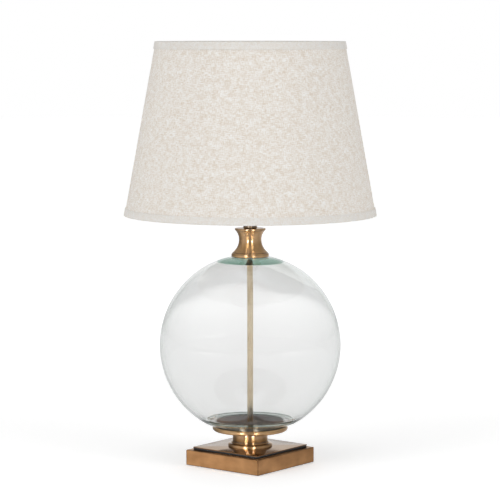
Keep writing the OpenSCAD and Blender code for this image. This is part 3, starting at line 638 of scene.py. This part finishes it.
centre = floor_drop
top = floor_drop + land_rise
heel_x = sqrt((globe_r - globe_heel) ** 2 - (floor_drop - globe_heel) ** 2)
heel_way = way_round(0, centre, heel_x, globe_heel)
land_x = sqrt(globe_r ** 2 - land_rise ** 2)
land_way = way_round(0, centre, land_x, top)
inner_r = globe_r - globe_wall
rise = centre - floor_t
bowl_x = opening + lip
bowl_r = (inner_r ** 2 - bowl_x ** 2 - rise ** 2) / 2 / (inner_r - rise)
bowl_way = way_round(0, centre, bowl_x, floor_t + bowl_r)
ceiling = top - cap_t
round_x = sqrt((inner_r - ceiling_round) ** 2 - (ceiling - ceiling_round - centre) ** 2)
round_way = way_round(0, centre, round_x, ceiling - ceiling_round)
section = [*arc(bowl_x, lip, lip, 180, 270, 6), *arc(heel_x, globe_heel, globe_heel, -90, heel_way, 10)]
section += arc(0, centre, globe_r, heel_way, land_way, 88)[1:]
section += [(upper_hole, top), (upper_hole, ceiling)]
section += arc(round_x, ceiling - ceiling_round, ceiling_round, 90, round_way, 12)
section += arc(0, centre, inner_r, round_way, bowl_way, 80)[1:]
section += arc(bowl_x, floor_t + bowl_r, bowl_r, bowl_way, -90, 24)[1:]
section += arc(bowl_x, floor_t - lip, lip, 90, 180, 6)[1:]
bm = turned(section, globe_low.z, steps=globe_steps)
for v in bm.verts:
    if v.co.z < globe_low.z + 1e-6:
        v.co.z += seated
    if v.co.z > globe_high.z - 1e-6:
        v.co.z -= seated
for v in bm.verts:
    out = hypot(v.co.x, v.co.y)
    beyond = min(1.0, max(0.0, (out / mm - touch_r) / (heel_x - touch_r)))
    fade = max(0.0, 1 - (v.co.z - globe_low.z) / (heel_fade * mm))
    if beyond and fade:
        front = max(0.0, -v.co.dot(behind) / out)
        lift = front * (heel_lift + heel_lean * v.co.dot(rightward) / out)
        v.co.z += lift * fade * beyond * beyond * (3 - 2 * beyond) * mm
ceiling_z = globe_low.z + ceiling * mm
for v in bm.verts:
    below_land = v.co.z < globe_high.z - 2 * mm
    inside = hypot(v.co.x, v.co.y, v.co.z - globe_low.z - centre * mm) < (inner_r + 0.1) * mm
    near = max(0.0, 1 - (ceiling_z - v.co.z) / (40 * mm))
    out = hypot(v.co.x, v.co.y)
    if inside and below_land and near > 0 and out > 2 * upper_hole * mm:
        side = v.co.x * rightward.x + v.co.y * rightward.y
        wave = sin(3 * atan2(v.co.y, v.co.x) + 1.0) * ceiling_ripple * mm
        v.co.z -= near * (side * ceiling_slope + wave * out / (round_x * mm))
clear_glass = finish("clear_glass", transmission_weight=1.0, roughness=0.0, ior=1.5,
                     base_color=(1.0, 0.985, 0.990))
tree = clear_glass.node_tree
at = spot_mm(tree)
cords = grain(tree, at, (60.0, 60.0, 14.0), detail=2.0)
relief(clear_glass, cords, 0.05)
tinted = node(tree, "VolumeAbsorption", {"Color": (*glass_green, 1), "Density": glass_depth})
tree.links.new(tinted.outputs[0], tree.nodes["Material Output"].inputs["Volume"])
height = node(tree, "SeparateXYZ", {0: at}).outputs[2]
deep = calc(tree, "GREATER_THAN", node(tree, "LightPath").outputs["Glossy Depth"], deep_turns)
feed(clear_glass, "Emission Color", tint(tree, span(tree, height, 120.0, 260.0), deep_low, deep_high))
feed(clear_glass, "Emission Strength", deep)
clear_glass.cycles.emission_sampling = "NONE"
ball = placed(bm, "glass_ball", clear_glass)
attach(ball, "lamp")
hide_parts("glass_globe")


# Centre tube: drawn brass tube, satin and pale, threaded inside the base and the holder. It holds
# the whole stack together and carries the wires.
tube_low, tube_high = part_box("centre_tube")
tube_h = (tube_high.z - tube_low.z) / mm
tube_r = tube_high.x / mm
tube_bore = 3.4
thread_pitch = 1.0
thread_depth = 0.28
threaded = 20.0
satin = finish("drawn_brass", metallic=1.0, specular_tint=(0.9, 0.86, 0.8), coat_weight=0.15,
               coat_roughness=0.15, anisotropic=0.3)
tree = satin.node_tree
at = spot_mm(tree)
drawn = grain(tree, at, (0.35, 0.35, 60.0), detail=2.0)
clouds = grain(tree, at, (20.0, 20.0, 34.0), detail=3.0, rough=0.6)
shade = ramp(tree, clouds, [(0.34, (0.74, 0.64, 0.47)), (0.5, (0.70, 0.58, 0.41)), (0.7, (0.58, 0.46, 0.30))])
feed(satin, "Base Color", tint(tree, span(tree, drawn, 0.4, 0.7, 0.0, 0.35), shade, (0.56, 0.45, 0.30)))
feed(satin, "Roughness", span(tree, drawn, 0.3, 0.7, 0.24, 0.36))
relief(satin, drawn, 0.006)


def cut_thread(bm, low, high, r, pitch, depth, inner=0.0):
    """Cuts a round thread into the outside of a turned bmesh between two heights in metres."""
    for v in bm.verts:
        out = hypot(v.co.x, v.co.y)
        if low < v.co.z < high and abs(out - r) < 0.2 * mm + inner:
            phase = v.co.z / pitch - atan2(v.co.y, v.co.x) / (2 * pi)
            fade = min(1.0, (v.co.z - low) / pitch, (high - v.co.z) / pitch)
            v.co.xy *= (out - depth * fade * (0.5 - 0.5 * cos(2 * pi * phase))) / out


threads = [n * thread_pitch / 6 for n in range(int(threaded / thread_pitch * 6) + 1)]
section = [(tube_bore, 0), *[(tube_r, z) for z in threads]]
section += [(tube_r, tube_h - z) for z in reversed(threads)] + [(tube_bore, tube_h)]
bm = turned(section, tube_low.z, steps=48)
for low in (tube_low.z, tube_high.z - threaded * mm):
    cut_thread(bm, low, low + threaded * mm, tube_r * mm, thread_pitch * mm, thread_depth * mm)
tube = placed(bm, "centre_rod", satin)
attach(tube, "lamp")
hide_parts("centre_tube")


# Neck: a solid brass spool turned in one piece, with a band and a sloping ledge at its foot, a
# long hollow curve and a plain flange at the top.
neck_low, neck_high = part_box("neck_spool")
neck_r = neck_high.x / mm
neck_h = (neck_high.z - neck_low.z) / mm
band_h = 4.3
ledge_h = 1.9
ledge_w = 1.6
groove = 0.7
waist_r = 18.1
waist_z = 27.5
flange_r = 24.5
flange_h = 2.7
lower_arc = 26.0
upper_arc = 21.5
curve_z = band_h + ledge_h + groove
lower_way = way_round(waist_r + lower_arc, waist_z,
                      waist_r + lower_arc - sqrt(lower_arc ** 2 - (waist_z - curve_z) ** 2), curve_z)
upper_way = way_round(waist_r + upper_arc, waist_z, flange_r, neck_h - flange_h)
foot = neck_low.z / mm
# Lines at its foot and under the flange: painted shade; the two between them are patina.
neck_brass = turned_finish("neck_brass", brass_light, brass_dark,
                           [(foot, 0.7), (foot + band_h, 0.35), (foot + curve_z - 0.2, 0.8),
                            (foot + neck_h - flange_h - 0.2, 0.6)])
section = [(bore, 0), (neck_r, 0), (neck_r, band_h), (neck_r - ledge_w, band_h + ledge_h)]
section += [(neck_r - ledge_w - groove, band_h + ledge_h), (neck_r - ledge_w - groove, curve_z)]
section += arc(waist_r + lower_arc, waist_z, lower_arc, lower_way + 360, 180, 20)
section += arc(waist_r + upper_arc, waist_z, upper_arc, 180, upper_way, 16)[1:]
section += [(flange_r + 0.3, neck_h - flange_h + 0.1), (flange_r + 0.3, neck_h), (bore, neck_h)]
neck = placed(turned(section, neck_low.z, soft=0.35), "neck_turning", neck_brass)
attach(neck, "lamp")
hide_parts("neck_spool")


# Clamp nut: a round nut of dark aged brass over the neck, which draws the whole stack together.
nut_low, nut_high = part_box("clamp_nut")
nut_r = nut_high.x / mm
nut_h = (nut_high.z - nut_low.z) / mm
aged_light = (0.30, 0.19, 0.088)
aged_dark = (0.13, 0.078, 0.035)
aged_brass = turned_finish("aged_brass", aged_light, aged_dark, [], rough=(0.26, 0.42))
section = [(bore, 0), (nut_r, 0), (nut_r, nut_h), (bore, nut_h)]
nut = placed(turned(section, nut_low.z, soft=0.9), "round_nut", aged_brass)
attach(nut, "lamp")
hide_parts("clamp_nut")


# Lampholder: a domed cap of aged brass, a white glazed porcelain insert with its brass terminals,
# contact and thread shell, and a skirt with an outside thread for the shade rings.
glaze = finish("porcelain", roughness=0.16, coat_weight=0.5, coat_roughness=0.06)
tree = glaze.node_tree
at = spot_mm(tree)
pooled = grain(tree, at, 8.0, detail=3.0)
pits = grain(tree, at, 0.8, detail=1.0)
feed(glaze, "Base Color", ramp(tree, pooled, [(0.3, (0.80, 0.78, 0.71)), (0.7, (0.88, 0.87, 0.82))]))
feed(glaze, "Roughness", span(tree, pits, 0.3, 0.7, 0.12, 0.22))
relief(glaze, pits, 0.02)
coat_nodes(glaze, "holder_insert")

bright = finish("terminal_brass", metallic=1.0, roughness=0.25)
tree = bright.node_tree
at = spot_mm(tree)
dulled = grain(tree, at, 2.0, detail=4.0)
feed(bright, "Base Color", ramp(tree, dulled, [(0.35, (0.76, 0.58, 0.30)), (0.7, (0.58, 0.42, 0.20))]))
feed(bright, "Roughness", span(tree, dulled, 0.3, 0.7, 0.18, 0.36))
relief(bright, grain(tree, at, 0.25), 0.01)
coat_nodes(bright, "terminal_screws", "centre_contact", "thread_shell")
coat_nodes(aged_brass, "holder_cap")

skirt_low, skirt_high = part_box("holder_skirt")
skirt_h = (skirt_high.z - skirt_low.z) / mm
band_r = skirt_high.x / mm
skirt_r = band_r - 0.2
skirt_wall = 1.4
skirt_foot = 4.0
lip_r = 15.6
lip_t = 1.2
pitch = 2.5
rows = [skirt_foot + 0.4 + n * pitch / 8 for n in range(int((skirt_h - skirt_foot - 1) / pitch * 8))]
section = [(skirt_r - skirt_wall, 0), (band_r, 0), (band_r, skirt_foot), (skirt_r, skirt_foot + 0.2)]
section += [(skirt_r, z) for z in rows] + [(skirt_r, skirt_h - 0.3), (skirt_r - 0.3, skirt_h)]
section += [(lip_r, skirt_h), (lip_r, skirt_h - lip_t), (skirt_r - skirt_wall, skirt_h - lip_t)]
bm = turned(section, skirt_low.z, steps=96)
cut_thread(bm, skirt_low.z + (skirt_foot + 0.3) * mm, skirt_high.z - 0.5 * mm, skirt_r * mm,
           pitch * mm, 0.45 * mm)
skirt = placed(bm, "threaded_skirt", aged_brass)
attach(skirt, "lamp")
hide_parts("holder_skirt")


# Lower shade ring: an aged brass ring that runs on the skirt's thread, under the shade's fitter.
# Its collar is ribbed for the fingers.
ring_bore = skirt_r + 0.08
collar_r = skirt_r + 3.0
ring_ribs = 36
rib_depth = 0.35


def shade_ring(low, high, flange_r, flange_up):
    """A turned ring with a flange and a collar whose outside is ribbed."""
    h = (high.z - low.z) / mm
    section = [(ring_bore, 0), (flange_r, 0), (flange_r, 2.0), (collar_r, 2.0), (collar_r, h),
               (ring_bore, h)]
    if not flange_up:
        section = [(r, h - z) for r, z in reversed(section)]
    bm = turned(section, low.z, soft=0.3, steps=ring_ribs * 6)
    for v in bm.verts:
        out = hypot(v.co.x, v.co.y)
        rim = max(abs(collar_r * mm - out) < 0.4 * mm, abs(flange_r * mm - out) < 0.4 * mm)
        if rim:
            wave = 0.5 - 0.5 * cos(ring_ribs * atan2(v.co.y, v.co.x))
            v.co.xy *= (out - wave * rib_depth * mm) / out
    return bm


lower_low, lower_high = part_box("lower_shade_ring")
lower_ring = placed(shade_ring(lower_low, lower_high, lower_high.x / mm, False), "lower_ring",
                    aged_brass)
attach(lower_ring, "lamp")
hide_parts("lower_shade_ring")


# Push bar: the switch, a moulded black bar through the holder with a ringed grip at each end. It
# is pushed from side to side.
bar_low, bar_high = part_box("switch_bar")
bar_r = (bar_high.z - bar_low.z) / 2 / mm
bar_len = (bar_high.x - bar_low.x) / mm
grip_rings = 3
ring_pitch = 1.5
section = [(0.0, 0.0), *arc(0, bar_r, bar_r, -75, 0, 8)]
for n in range(grip_rings):
    z = bar_r + 0.8 + n * ring_pitch
    section += [(bar_r, z), (bar_r - 0.25, z + 0.2), (bar_r - 0.25, z + 0.5), (bar_r, z + 0.7)]
section += [(r, bar_len - z) for r, z in reversed(section)]
bm = turned(section, steps=48)
bmesh.ops.rotate(bm, verts=bm.verts, cent=(0, 0, 0), matrix=Matrix.Rotation(pi / 2, 3, "Y"))
bmesh.ops.translate(bm, verts=bm.verts, vec=(bar_low.x, 0, (bar_low.z + bar_high.z) / 2))
bar = placed(bm, "push_bar_moulding", nylon)
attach(bar, "push_bar")
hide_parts("switch_bar")


# Bulb: an opal glass globe bulb with a rolled aluminium screw cap, a black glass insulator and a
# soldered contact. It isn't lit.
cap_low, cap_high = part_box("bulb_cap")
cap_r = cap_high.x / mm
cap_h = (cap_high.z - cap_low.z) / mm
cap_pitch = 3.6
cap_shoulder = 3.0
cap_metal = finish("cap_metal", metallic=1.0, roughness=0.3)
tree = cap_metal.node_tree
at = spot_mm(tree)
rub = grain(tree, at, (2.0, 2.0, 0.5), detail=3.0)
feed(cap_metal, "Base Color", ramp(tree, rub, [(0.35, (0.78, 0.78, 0.79)), (0.7, (0.62, 0.62, 0.63))]))
feed(cap_metal, "Roughness", span(tree, rub, 0.3, 0.7, 0.22, 0.40))
relief(cap_metal, rub, 0.01)
rows = [cap_shoulder + 0.5 + n * cap_pitch / 10 for n in range(int((cap_h - cap_shoulder - 3) / cap_pitch * 10))]
section = [(0, 0), (cap_r - cap_shoulder, 0), (cap_r, cap_shoulder), *[(cap_r, z) for z in rows]]
section += [(cap_r, cap_h), (cap_r - 0.4, cap_h), (cap_r - 0.4, cap_h - 0.6), (0, cap_h - 0.6)]
bm = turned(section, cap_low.z, steps=72)
cut_thread(bm, cap_low.z + (cap_shoulder + 0.2) * mm, cap_low.z + (rows[-1] + 0.5) * mm, cap_r * mm,
           cap_pitch * mm, 1.0 * mm)
screw_cap = placed(bm, "rolled_cap", cap_metal)
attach(screw_cap, "bulb")
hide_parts("bulb_cap")

insulator_glass = finish("black_glass", roughness=0.12, base_color=(0.012, 0.012, 0.014))
tree = insulator_glass.node_tree
at = spot_mm(tree)
flow = grain(tree, at, 2.5, detail=2.0)
feed(insulator_glass, "Base Color", ramp(tree, flow, [(0.3, (0.010, 0.010, 0.012)), (0.7, (0.03, 0.03, 0.034))]))
feed(insulator_glass, "Roughness", span(tree, flow, 0.3, 0.7, 0.08, 0.22))
coat_nodes(insulator_glass, "bulb_insulator")

opal = finish("opal_glass", roughness=0.14, coat_weight=0.3, coat_roughness=0.05,
              subsurface_weight=0.0)
tree = opal.node_tree
at = spot_mm(tree)
milk = grain(tree, at, 18.0, detail=2.0)
feed(opal, "Base Color", ramp(tree, milk, [(0.3, (0.84, 0.83, 0.80)), (0.7, (0.89, 0.885, 0.865))]))
feed(opal, "Roughness", span(tree, milk, 0.3, 0.7, 0.10, 0.20))
bulb_low, bulb_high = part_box("bulb_envelope")
crown_r = bulb_high.x / mm
crown_z = (bulb_high.z - bulb_low.z) / mm - crown_r
plug_h = 4.0
neck_start = (cap_r, plug_h)
neck_end = (14.6, plug_h + 5.0)
reach = hypot(neck_end[0], crown_z - neck_end[1])
lean = atan2(crown_z - neck_end[1], -neck_end[0]) - acos(sqrt(1 - (crown_r / reach) ** 2))
side = sqrt(reach ** 2 - crown_r ** 2)
touch = (neck_end[0] + side * cos(lean), neck_end[1] + side * sin(lean))
section = [(0, 0.0), (cap_r - 0.5, 0.0), (cap_r - 0.5, plug_h - 0.05), neck_start, neck_end]
section += arc(0, crown_z, crown_r, way_round(0, crown_z, *touch), 90, 24)
bulb_glass = placed(turned(section, bulb_low.z, steps=96), "opal_bulb", opal)
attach(bulb_glass, "bulb")
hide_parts("bulb_envelope")


# Upper shade ring: the ribbed ring that is screwed down over the shade's fitter.
upper_low, upper_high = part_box("upper_shade_ring")
upper_ring = placed(shade_ring(upper_low, upper_high, upper_high.x / mm, True), "upper_ring",
                    aged_brass)
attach(upper_ring, "clamp_ring")
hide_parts("upper_shade_ring")


# Shade frame: a pressed fitter ring, three bent wire arms welded under it and to the bottom ring,
# and a wire ring at each end, all in white powder coat.
powder = finish("white_powder", roughness=0.42)
tree = powder.node_tree
at = spot_mm(tree)
peel = grain(tree, at, 0.9, detail=2.0)
feed(powder, "Base Color", ramp(tree, grain(tree, at, 14.0), [(0.3, (0.78, 0.77, 0.74)), (0.7, (0.84, 0.83, 0.80))]))
feed(powder, "Roughness", span(tree, peel, 0.3, 0.7, 0.34, 0.5))
relief(powder, peel, 0.05)
coat_nodes(powder, "bottom_wire_ring", "top_wire_ring")

fitter_low, fitter_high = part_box("fitter_ring")
fitter_r = fitter_high.x / mm
fitter_bore = 21.0
fitter_t = (fitter_high.z - fitter_low.z) / mm
section = [(fitter_bore, 0), (fitter_r, 0), (fitter_r, fitter_t), (fitter_bore, fitter_t)]
fitter = placed(turned(section, fitter_low.z, soft=0.5, steps=96), "fitter_pressing", powder)
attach(fitter, "shade")
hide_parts("fitter_ring")

ring_low, ring_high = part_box("bottom_wire_ring")
wire_r = (ring_high.z - ring_low.z) / 2
ring_out = ring_high.x - wire_r
ring_z = (ring_low.z + ring_high.z) / 2
arm_r = 1.8 * mm
arm_start = 27 * mm
arm_z = fitter_low.z - arm_r
bend_in = 11 * mm
bend_r = 6 * mm
bend_x = ring_out - bend_in
drop = arm_z - ring_z
fall = atan2(drop, bend_in)
lead = bend_r * sin(fall / 2) / cos(fall / 2)


def arm_wire(turn_deg):
    """One bent wire arm: level, round its bend and down to the side of the bottom ring."""
    bm = bmesh.new()
    end = bmesh.ops.create_circle(bm, cap_ends=True, radius=arm_r, segments=20)["verts"]
    bmesh.ops.rotate(bm, verts=end, cent=(0, 0, 0), matrix=Matrix.Rotation(pi / 2, 3, "Y"))
    bmesh.ops.translate(bm, verts=end, vec=(arm_start, 0, arm_z))
    rim = bmesh.ops.extrude_edge_only(bm, edges=bm.edges[:])["geom"]
    moved = [g for g in rim if isinstance(g, bmesh.types.BMVert)]
    bmesh.ops.translate(bm, verts=moved, vec=(bend_x - lead - arm_start, 0, 0))
    loop = [g for g in rim if isinstance(g, bmesh.types.BMEdge)]
    swept = bmesh.ops.spin(bm, geom=moved + loop, cent=(bend_x - lead, 0, arm_z - bend_r),
                           axis=(0, 1, 0), angle=fall, steps=8)["geom_last"]
    loop = [g for g in swept if isinstance(g, bmesh.types.BMEdge)]
    rim = bmesh.ops.extrude_edge_only(bm, edges=loop)["geom"]
    moved = [g for g in rim if isinstance(g, bmesh.types.BMVert)]
    slant = hypot(bend_in, drop) - lead - wire_r * 0.5
    bmesh.ops.translate(bm, verts=moved, vec=(slant * cos(fall), 0, -slant * sin(fall)))
    bmesh.ops.contextual_create(bm, geom=[g for g in rim if isinstance(g, bmesh.types.BMEdge)])
    bmesh.ops.recalc_face_normals(bm, faces=bm.faces)
    bmesh.ops.rotate(bm, verts=bm.verts, cent=(0, 0, 0), matrix=Matrix.Rotation(radians(turn_deg), 3, "Z"))
    return bm


for number in (1, 2, 3):
    arm = placed(arm_wire(90 + 120 * number), f"wire_arm_{number}", powder)
    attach(arm, "shade")
    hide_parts(f"spider_arm_{number}")


# Lining: stiff white styrene laminate behind the linen, wrapped into a cone and glued along an
# overlapping seam at the back.
bottom_low, bottom_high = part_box("bottom_hem")
top_low, top_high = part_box("top_hem")
shade_z0 = bottom_low.z
shade_z1 = top_high.z
shade_h = shade_z1 - shade_z0
hem_h = 12 * mm
hem_t = 1.6 * mm
cover_t = 0.9 * mm
lining_t = 0.7 * mm
lap = 0.8 * mm
slope = 0.18283
hem_line = 203.2 * mm
seam_at = camera_turn + pi / 2


def hem_r(z):
    """The radius of the shade over its hems at a height."""
    return hem_line - slope * (z - shade_z0)


def wrapped(depth, low, high, over, columns, rows, proud):
    """A sheet wrapped into the shade's cone, depth under the hem line between two heights. Its
    last stretch, over metres long, lies proud of the first. It carries its flat cut as a UV map,
    in metres, so that a weave runs as it does in cloth cut from the flat."""
    bm = bmesh.new()
    bmesh.ops.create_grid(bm, x_segments=columns, y_segments=rows, size=0.5)
    flat = bm.loops.layers.uv.new("flat")
    lean = slope / sqrt(1 + slope * slope)
    around = 2 * pi + over / hem_line
    step = 0.006 / hem_line
    spots = {}
    for v in bm.verts:
        share, rise = v.co.x + 0.5, v.co.y + 0.5
        turned_by = share * around
        z = low + rise * (high - low)
        r = hem_r(z) - depth
        lifted = min(1.0, max(0.0, (turned_by - (2 * pi - step)) / step))
        slant = r / lean
        fan = (turned_by - around / 2) * lean
        spots[v] = (slant * sin(fan), -slant * cos(fan))
        r += proud * lifted
        v.co = (r * cos(seam_at + turned_by), r * sin(seam_at + turned_by), z)
    for face in bm.faces:
        for loop in face.loops:
            loop[flat].uv = spots[loop.vert]
    return bm


styrene = finish("white_styrene", roughness=0.45)
tree = styrene.node_tree
flat = node(tree, "UVMap", uv_map="flat").outputs[0]
flat_mm = node(tree, "Mapping", {"Vector": flat, "Scale": (1000,) * 3}).outputs[0]
pulp = grain(tree, flat_mm, 1.2, detail=3.0)
mottle = grain(tree, flat_mm, 30.0, detail=2.0)
feed(styrene, "Base Color", ramp(tree, mottle, [(0.3, (0.84, 0.825, 0.785)), (0.7, (0.88, 0.865, 0.83))]))
feed(styrene, "Roughness", span(tree, pulp, 0.3, 0.7, 0.38, 0.55))
relief(styrene, pulp, 0.03)
lining = placed(wrapped(hem_t + cover_t, shade_z0 + lap, shade_z1 - lap, 14 * mm, 180, 12, 0.0),
                "shade_liner", styrene)
backing = lining.modifiers.new("thickness", "SOLIDIFY")
backing.thickness = lining_t * 0.8
backing.offset = -1
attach(lining, "shade")
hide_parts("shade_lining")


# Cover: natural linen laminated to the lining, a loose plain weave of uneven yarn with beige
# slubs and flecks. It is cut as a fan, wrapped and lapped over itself at the back.
yarn_pale = (0.892, 0.888, 0.872)
yarn_warm = (0.700, 0.622, 0.530)
yarn_beige = (0.600, 0.480, 0.355)
yarn_fleck = (0.36, 0.26, 0.17)
warp_pitch = 0.62
weft_pitch = 0.70


def linen_finish(name, pale, warmth):
    """Slubby linen on a UV map in metres. Warmth scales how much warm and beige yarn shows."""
    made = finish(name, roughness=0.9, sheen_weight=0.12, sheen_roughness=0.6,
                  specular_ior_level=0.2)
    tree = made.node_tree
    flat = node(tree, "UVMap", uv_map="flat").outputs[0]
    at = node(tree, "Mapping", {"Vector": flat, "Scale": (1000,) * 3}).outputs[0]
    u, v, _ = node(tree, "SeparateXYZ", {0: at}).outputs
    weft = grain(tree, at, (6.5, 1.25, 1.0), detail=2.0, rough=0.55)
    warp = grain(tree, at, (1.20, 6.0, 1.0), detail=2.0, rough=0.55, shift=31.0)
    weft_slub = grain(tree, at, (11.0, 1.7, 1.0), detail=1.0, shift=57.0)
    warp_slub = grain(tree, at, (1.6, 10.0, 1.0), detail=1.0, shift=83.0)
    patches = grain(tree, at, 11.0, detail=4.0, rough=0.6, shift=17.0)
    lots = grain(tree, at, 60.0, detail=2.0, shift=5.0)
    flecks = grain(tree, at, (1.7, 1.2, 1.0), detail=2.0, rough=0.6, shift=101.0)
    blend = calc(tree, "ADD", calc(tree, "MULTIPLY", weft, 0.40), calc(tree, "MULTIPLY", warp, 0.34))
    blend = calc(tree, "ADD", blend, calc(tree, "MULTIPLY", patches, 0.26))
    tone = tint(tree, span(tree, blend, 0.42, 0.58, 0.0, 0.95 * warmth), pale, yarn_warm)
    slubs = calc(tree, "MAXIMUM", span(tree, weft_slub, 0.62, 0.74), span(tree, warp_slub, 0.64, 0.76))
    slubs = calc(tree, "MULTIPLY", slubs, span(tree, lots, 0.35, 0.6, 0.35 * warmth, 0.60 * warmth))
    tone = tint(tree, slubs, tone, yarn_beige)
    tone = tint(tree, span(tree, flecks, 0.70, 0.78, 0.0, 0.55 * warmth), tone, yarn_fleck)
    over = calc(tree, "ABSOLUTE", calc(tree, "SINE", calc(tree, "MULTIPLY", u, pi / warp_pitch)))
    under = calc(tree, "ABSOLUTE", calc(tree, "SINE", calc(tree, "MULTIPLY", v, pi / weft_pitch)))
    weave = calc(tree, "MULTIPLY", over, under)
    tone = tint(tree, span(tree, weave, 0.0, 0.55, 0.30, 0.0), tone, (0.50, 0.43, 0.35))
    feed(made, "Base Color", tone)
    lumps = calc(tree, "ADD", calc(tree, "MULTIPLY", weave, 0.6), calc(tree, "ADD", weft, warp))
    relief(made, lumps, 0.22)
    return made


linen = linen_finish("natural_linen", yarn_pale, 1.0)
cover = placed(wrapped(hem_t, shade_z0 + lap, shade_z1 - lap, 12 * mm, 240, 28, 0.6 * mm),
               "linen_cover", linen)
cloth = cover.modifiers.new("thickness", "SOLIDIFY")
cloth.thickness = cover_t * 0.8
cloth.offset = -1
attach(cover, "shade")
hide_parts("shade_cover")


# Hems: bias strips of the same linen, folded round the frame wires and glued flat outside and
# inside. Doubled cloth looks paler and greyer than the cover.
hem_steps = 240
hem_pale = (0.802, 0.803, 0.790)
hem_ripple = 0.12


def strip(outline):
    """A closed half section, in metres, spun into a band with a UV map of its length and height."""
    bm = turned([(r / mm, z / mm) for r, z in outline], soft=0.3, steps=hem_steps)
    band = bm.loops.layers.uv.new("flat")
    for face in bm.faces:
        first = atan2(face.loops[0].vert.co.y, face.loops[0].vert.co.x)
        for loop in face.loops:
            x, y, z = loop.vert.co
            turned_by = atan2(y, x)
            turned_by += 2 * pi * round((first - turned_by) / (2 * pi))
            loop[band].uv = (turned_by * hem_line, z - hypot(x, y))
    for v in bm.verts:
        turned_by = atan2(v.co.y, v.co.x)
        out = hypot(v.co.x, v.co.y)
        wave = sin(17 * turned_by) + sin(29 * turned_by + 2) + 0.6 * sin(53 * turned_by + 1)
        v.co.xy *= (out - hem_ripple * mm * (0.5 + 0.2 * wave)) / out
    return bm


under = hem_t + cover_t + lining_t
hem_linen = linen_finish("hem_linen", hem_pale, 0.6)
wrap = wire_r + lap


def hem_outline(end, into):
    """The half section of a hem: end is the height of the shade's end, into is 1 or -1."""
    ring = (hem_r(end + into * (lap + wire_r)) - under - wire_r, end + into * (lap + wire_r))
    points = [(hem_r(end + into * hem_h), end + into * hem_h), (hem_r(end), end)]
    points += [(ring[0], end)]
    start = -90 * into
    for n in range(1, 9):
        a = radians(start - into * 90 * n / 8)
        points.append((ring[0] + wrap * cos(a), ring[1] + wrap * sin(a)))
    points += [(hem_r(end + into * 6 * mm) - under - lap, end + into * 6 * mm)]
    points += [(hem_r(end + into * 8 * mm) - under - lap, end + into * 8 * mm)]
    points += [(hem_r(end + into * 8 * mm) - under, end + into * 8 * mm)]
    points += [(hem_r(end + into * lap) - under, end + into * lap)]
    points += [(hem_r(end + into * lap) - hem_t, end + into * lap)]
    points += [(hem_r(end + into * hem_h) - hem_t, end + into * hem_h)]
    return points


for name, end, into in (("bottom_hem", shade_z0, 1), ("top_hem", shade_z1, -1)):
    made = placed(strip(hem_outline(end, into)), name + "_band", hem_linen)
    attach(made, "shade")
    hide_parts(name)

lean = slope / sqrt(1 + slope * slope)


bpy.context.view_layer.update()
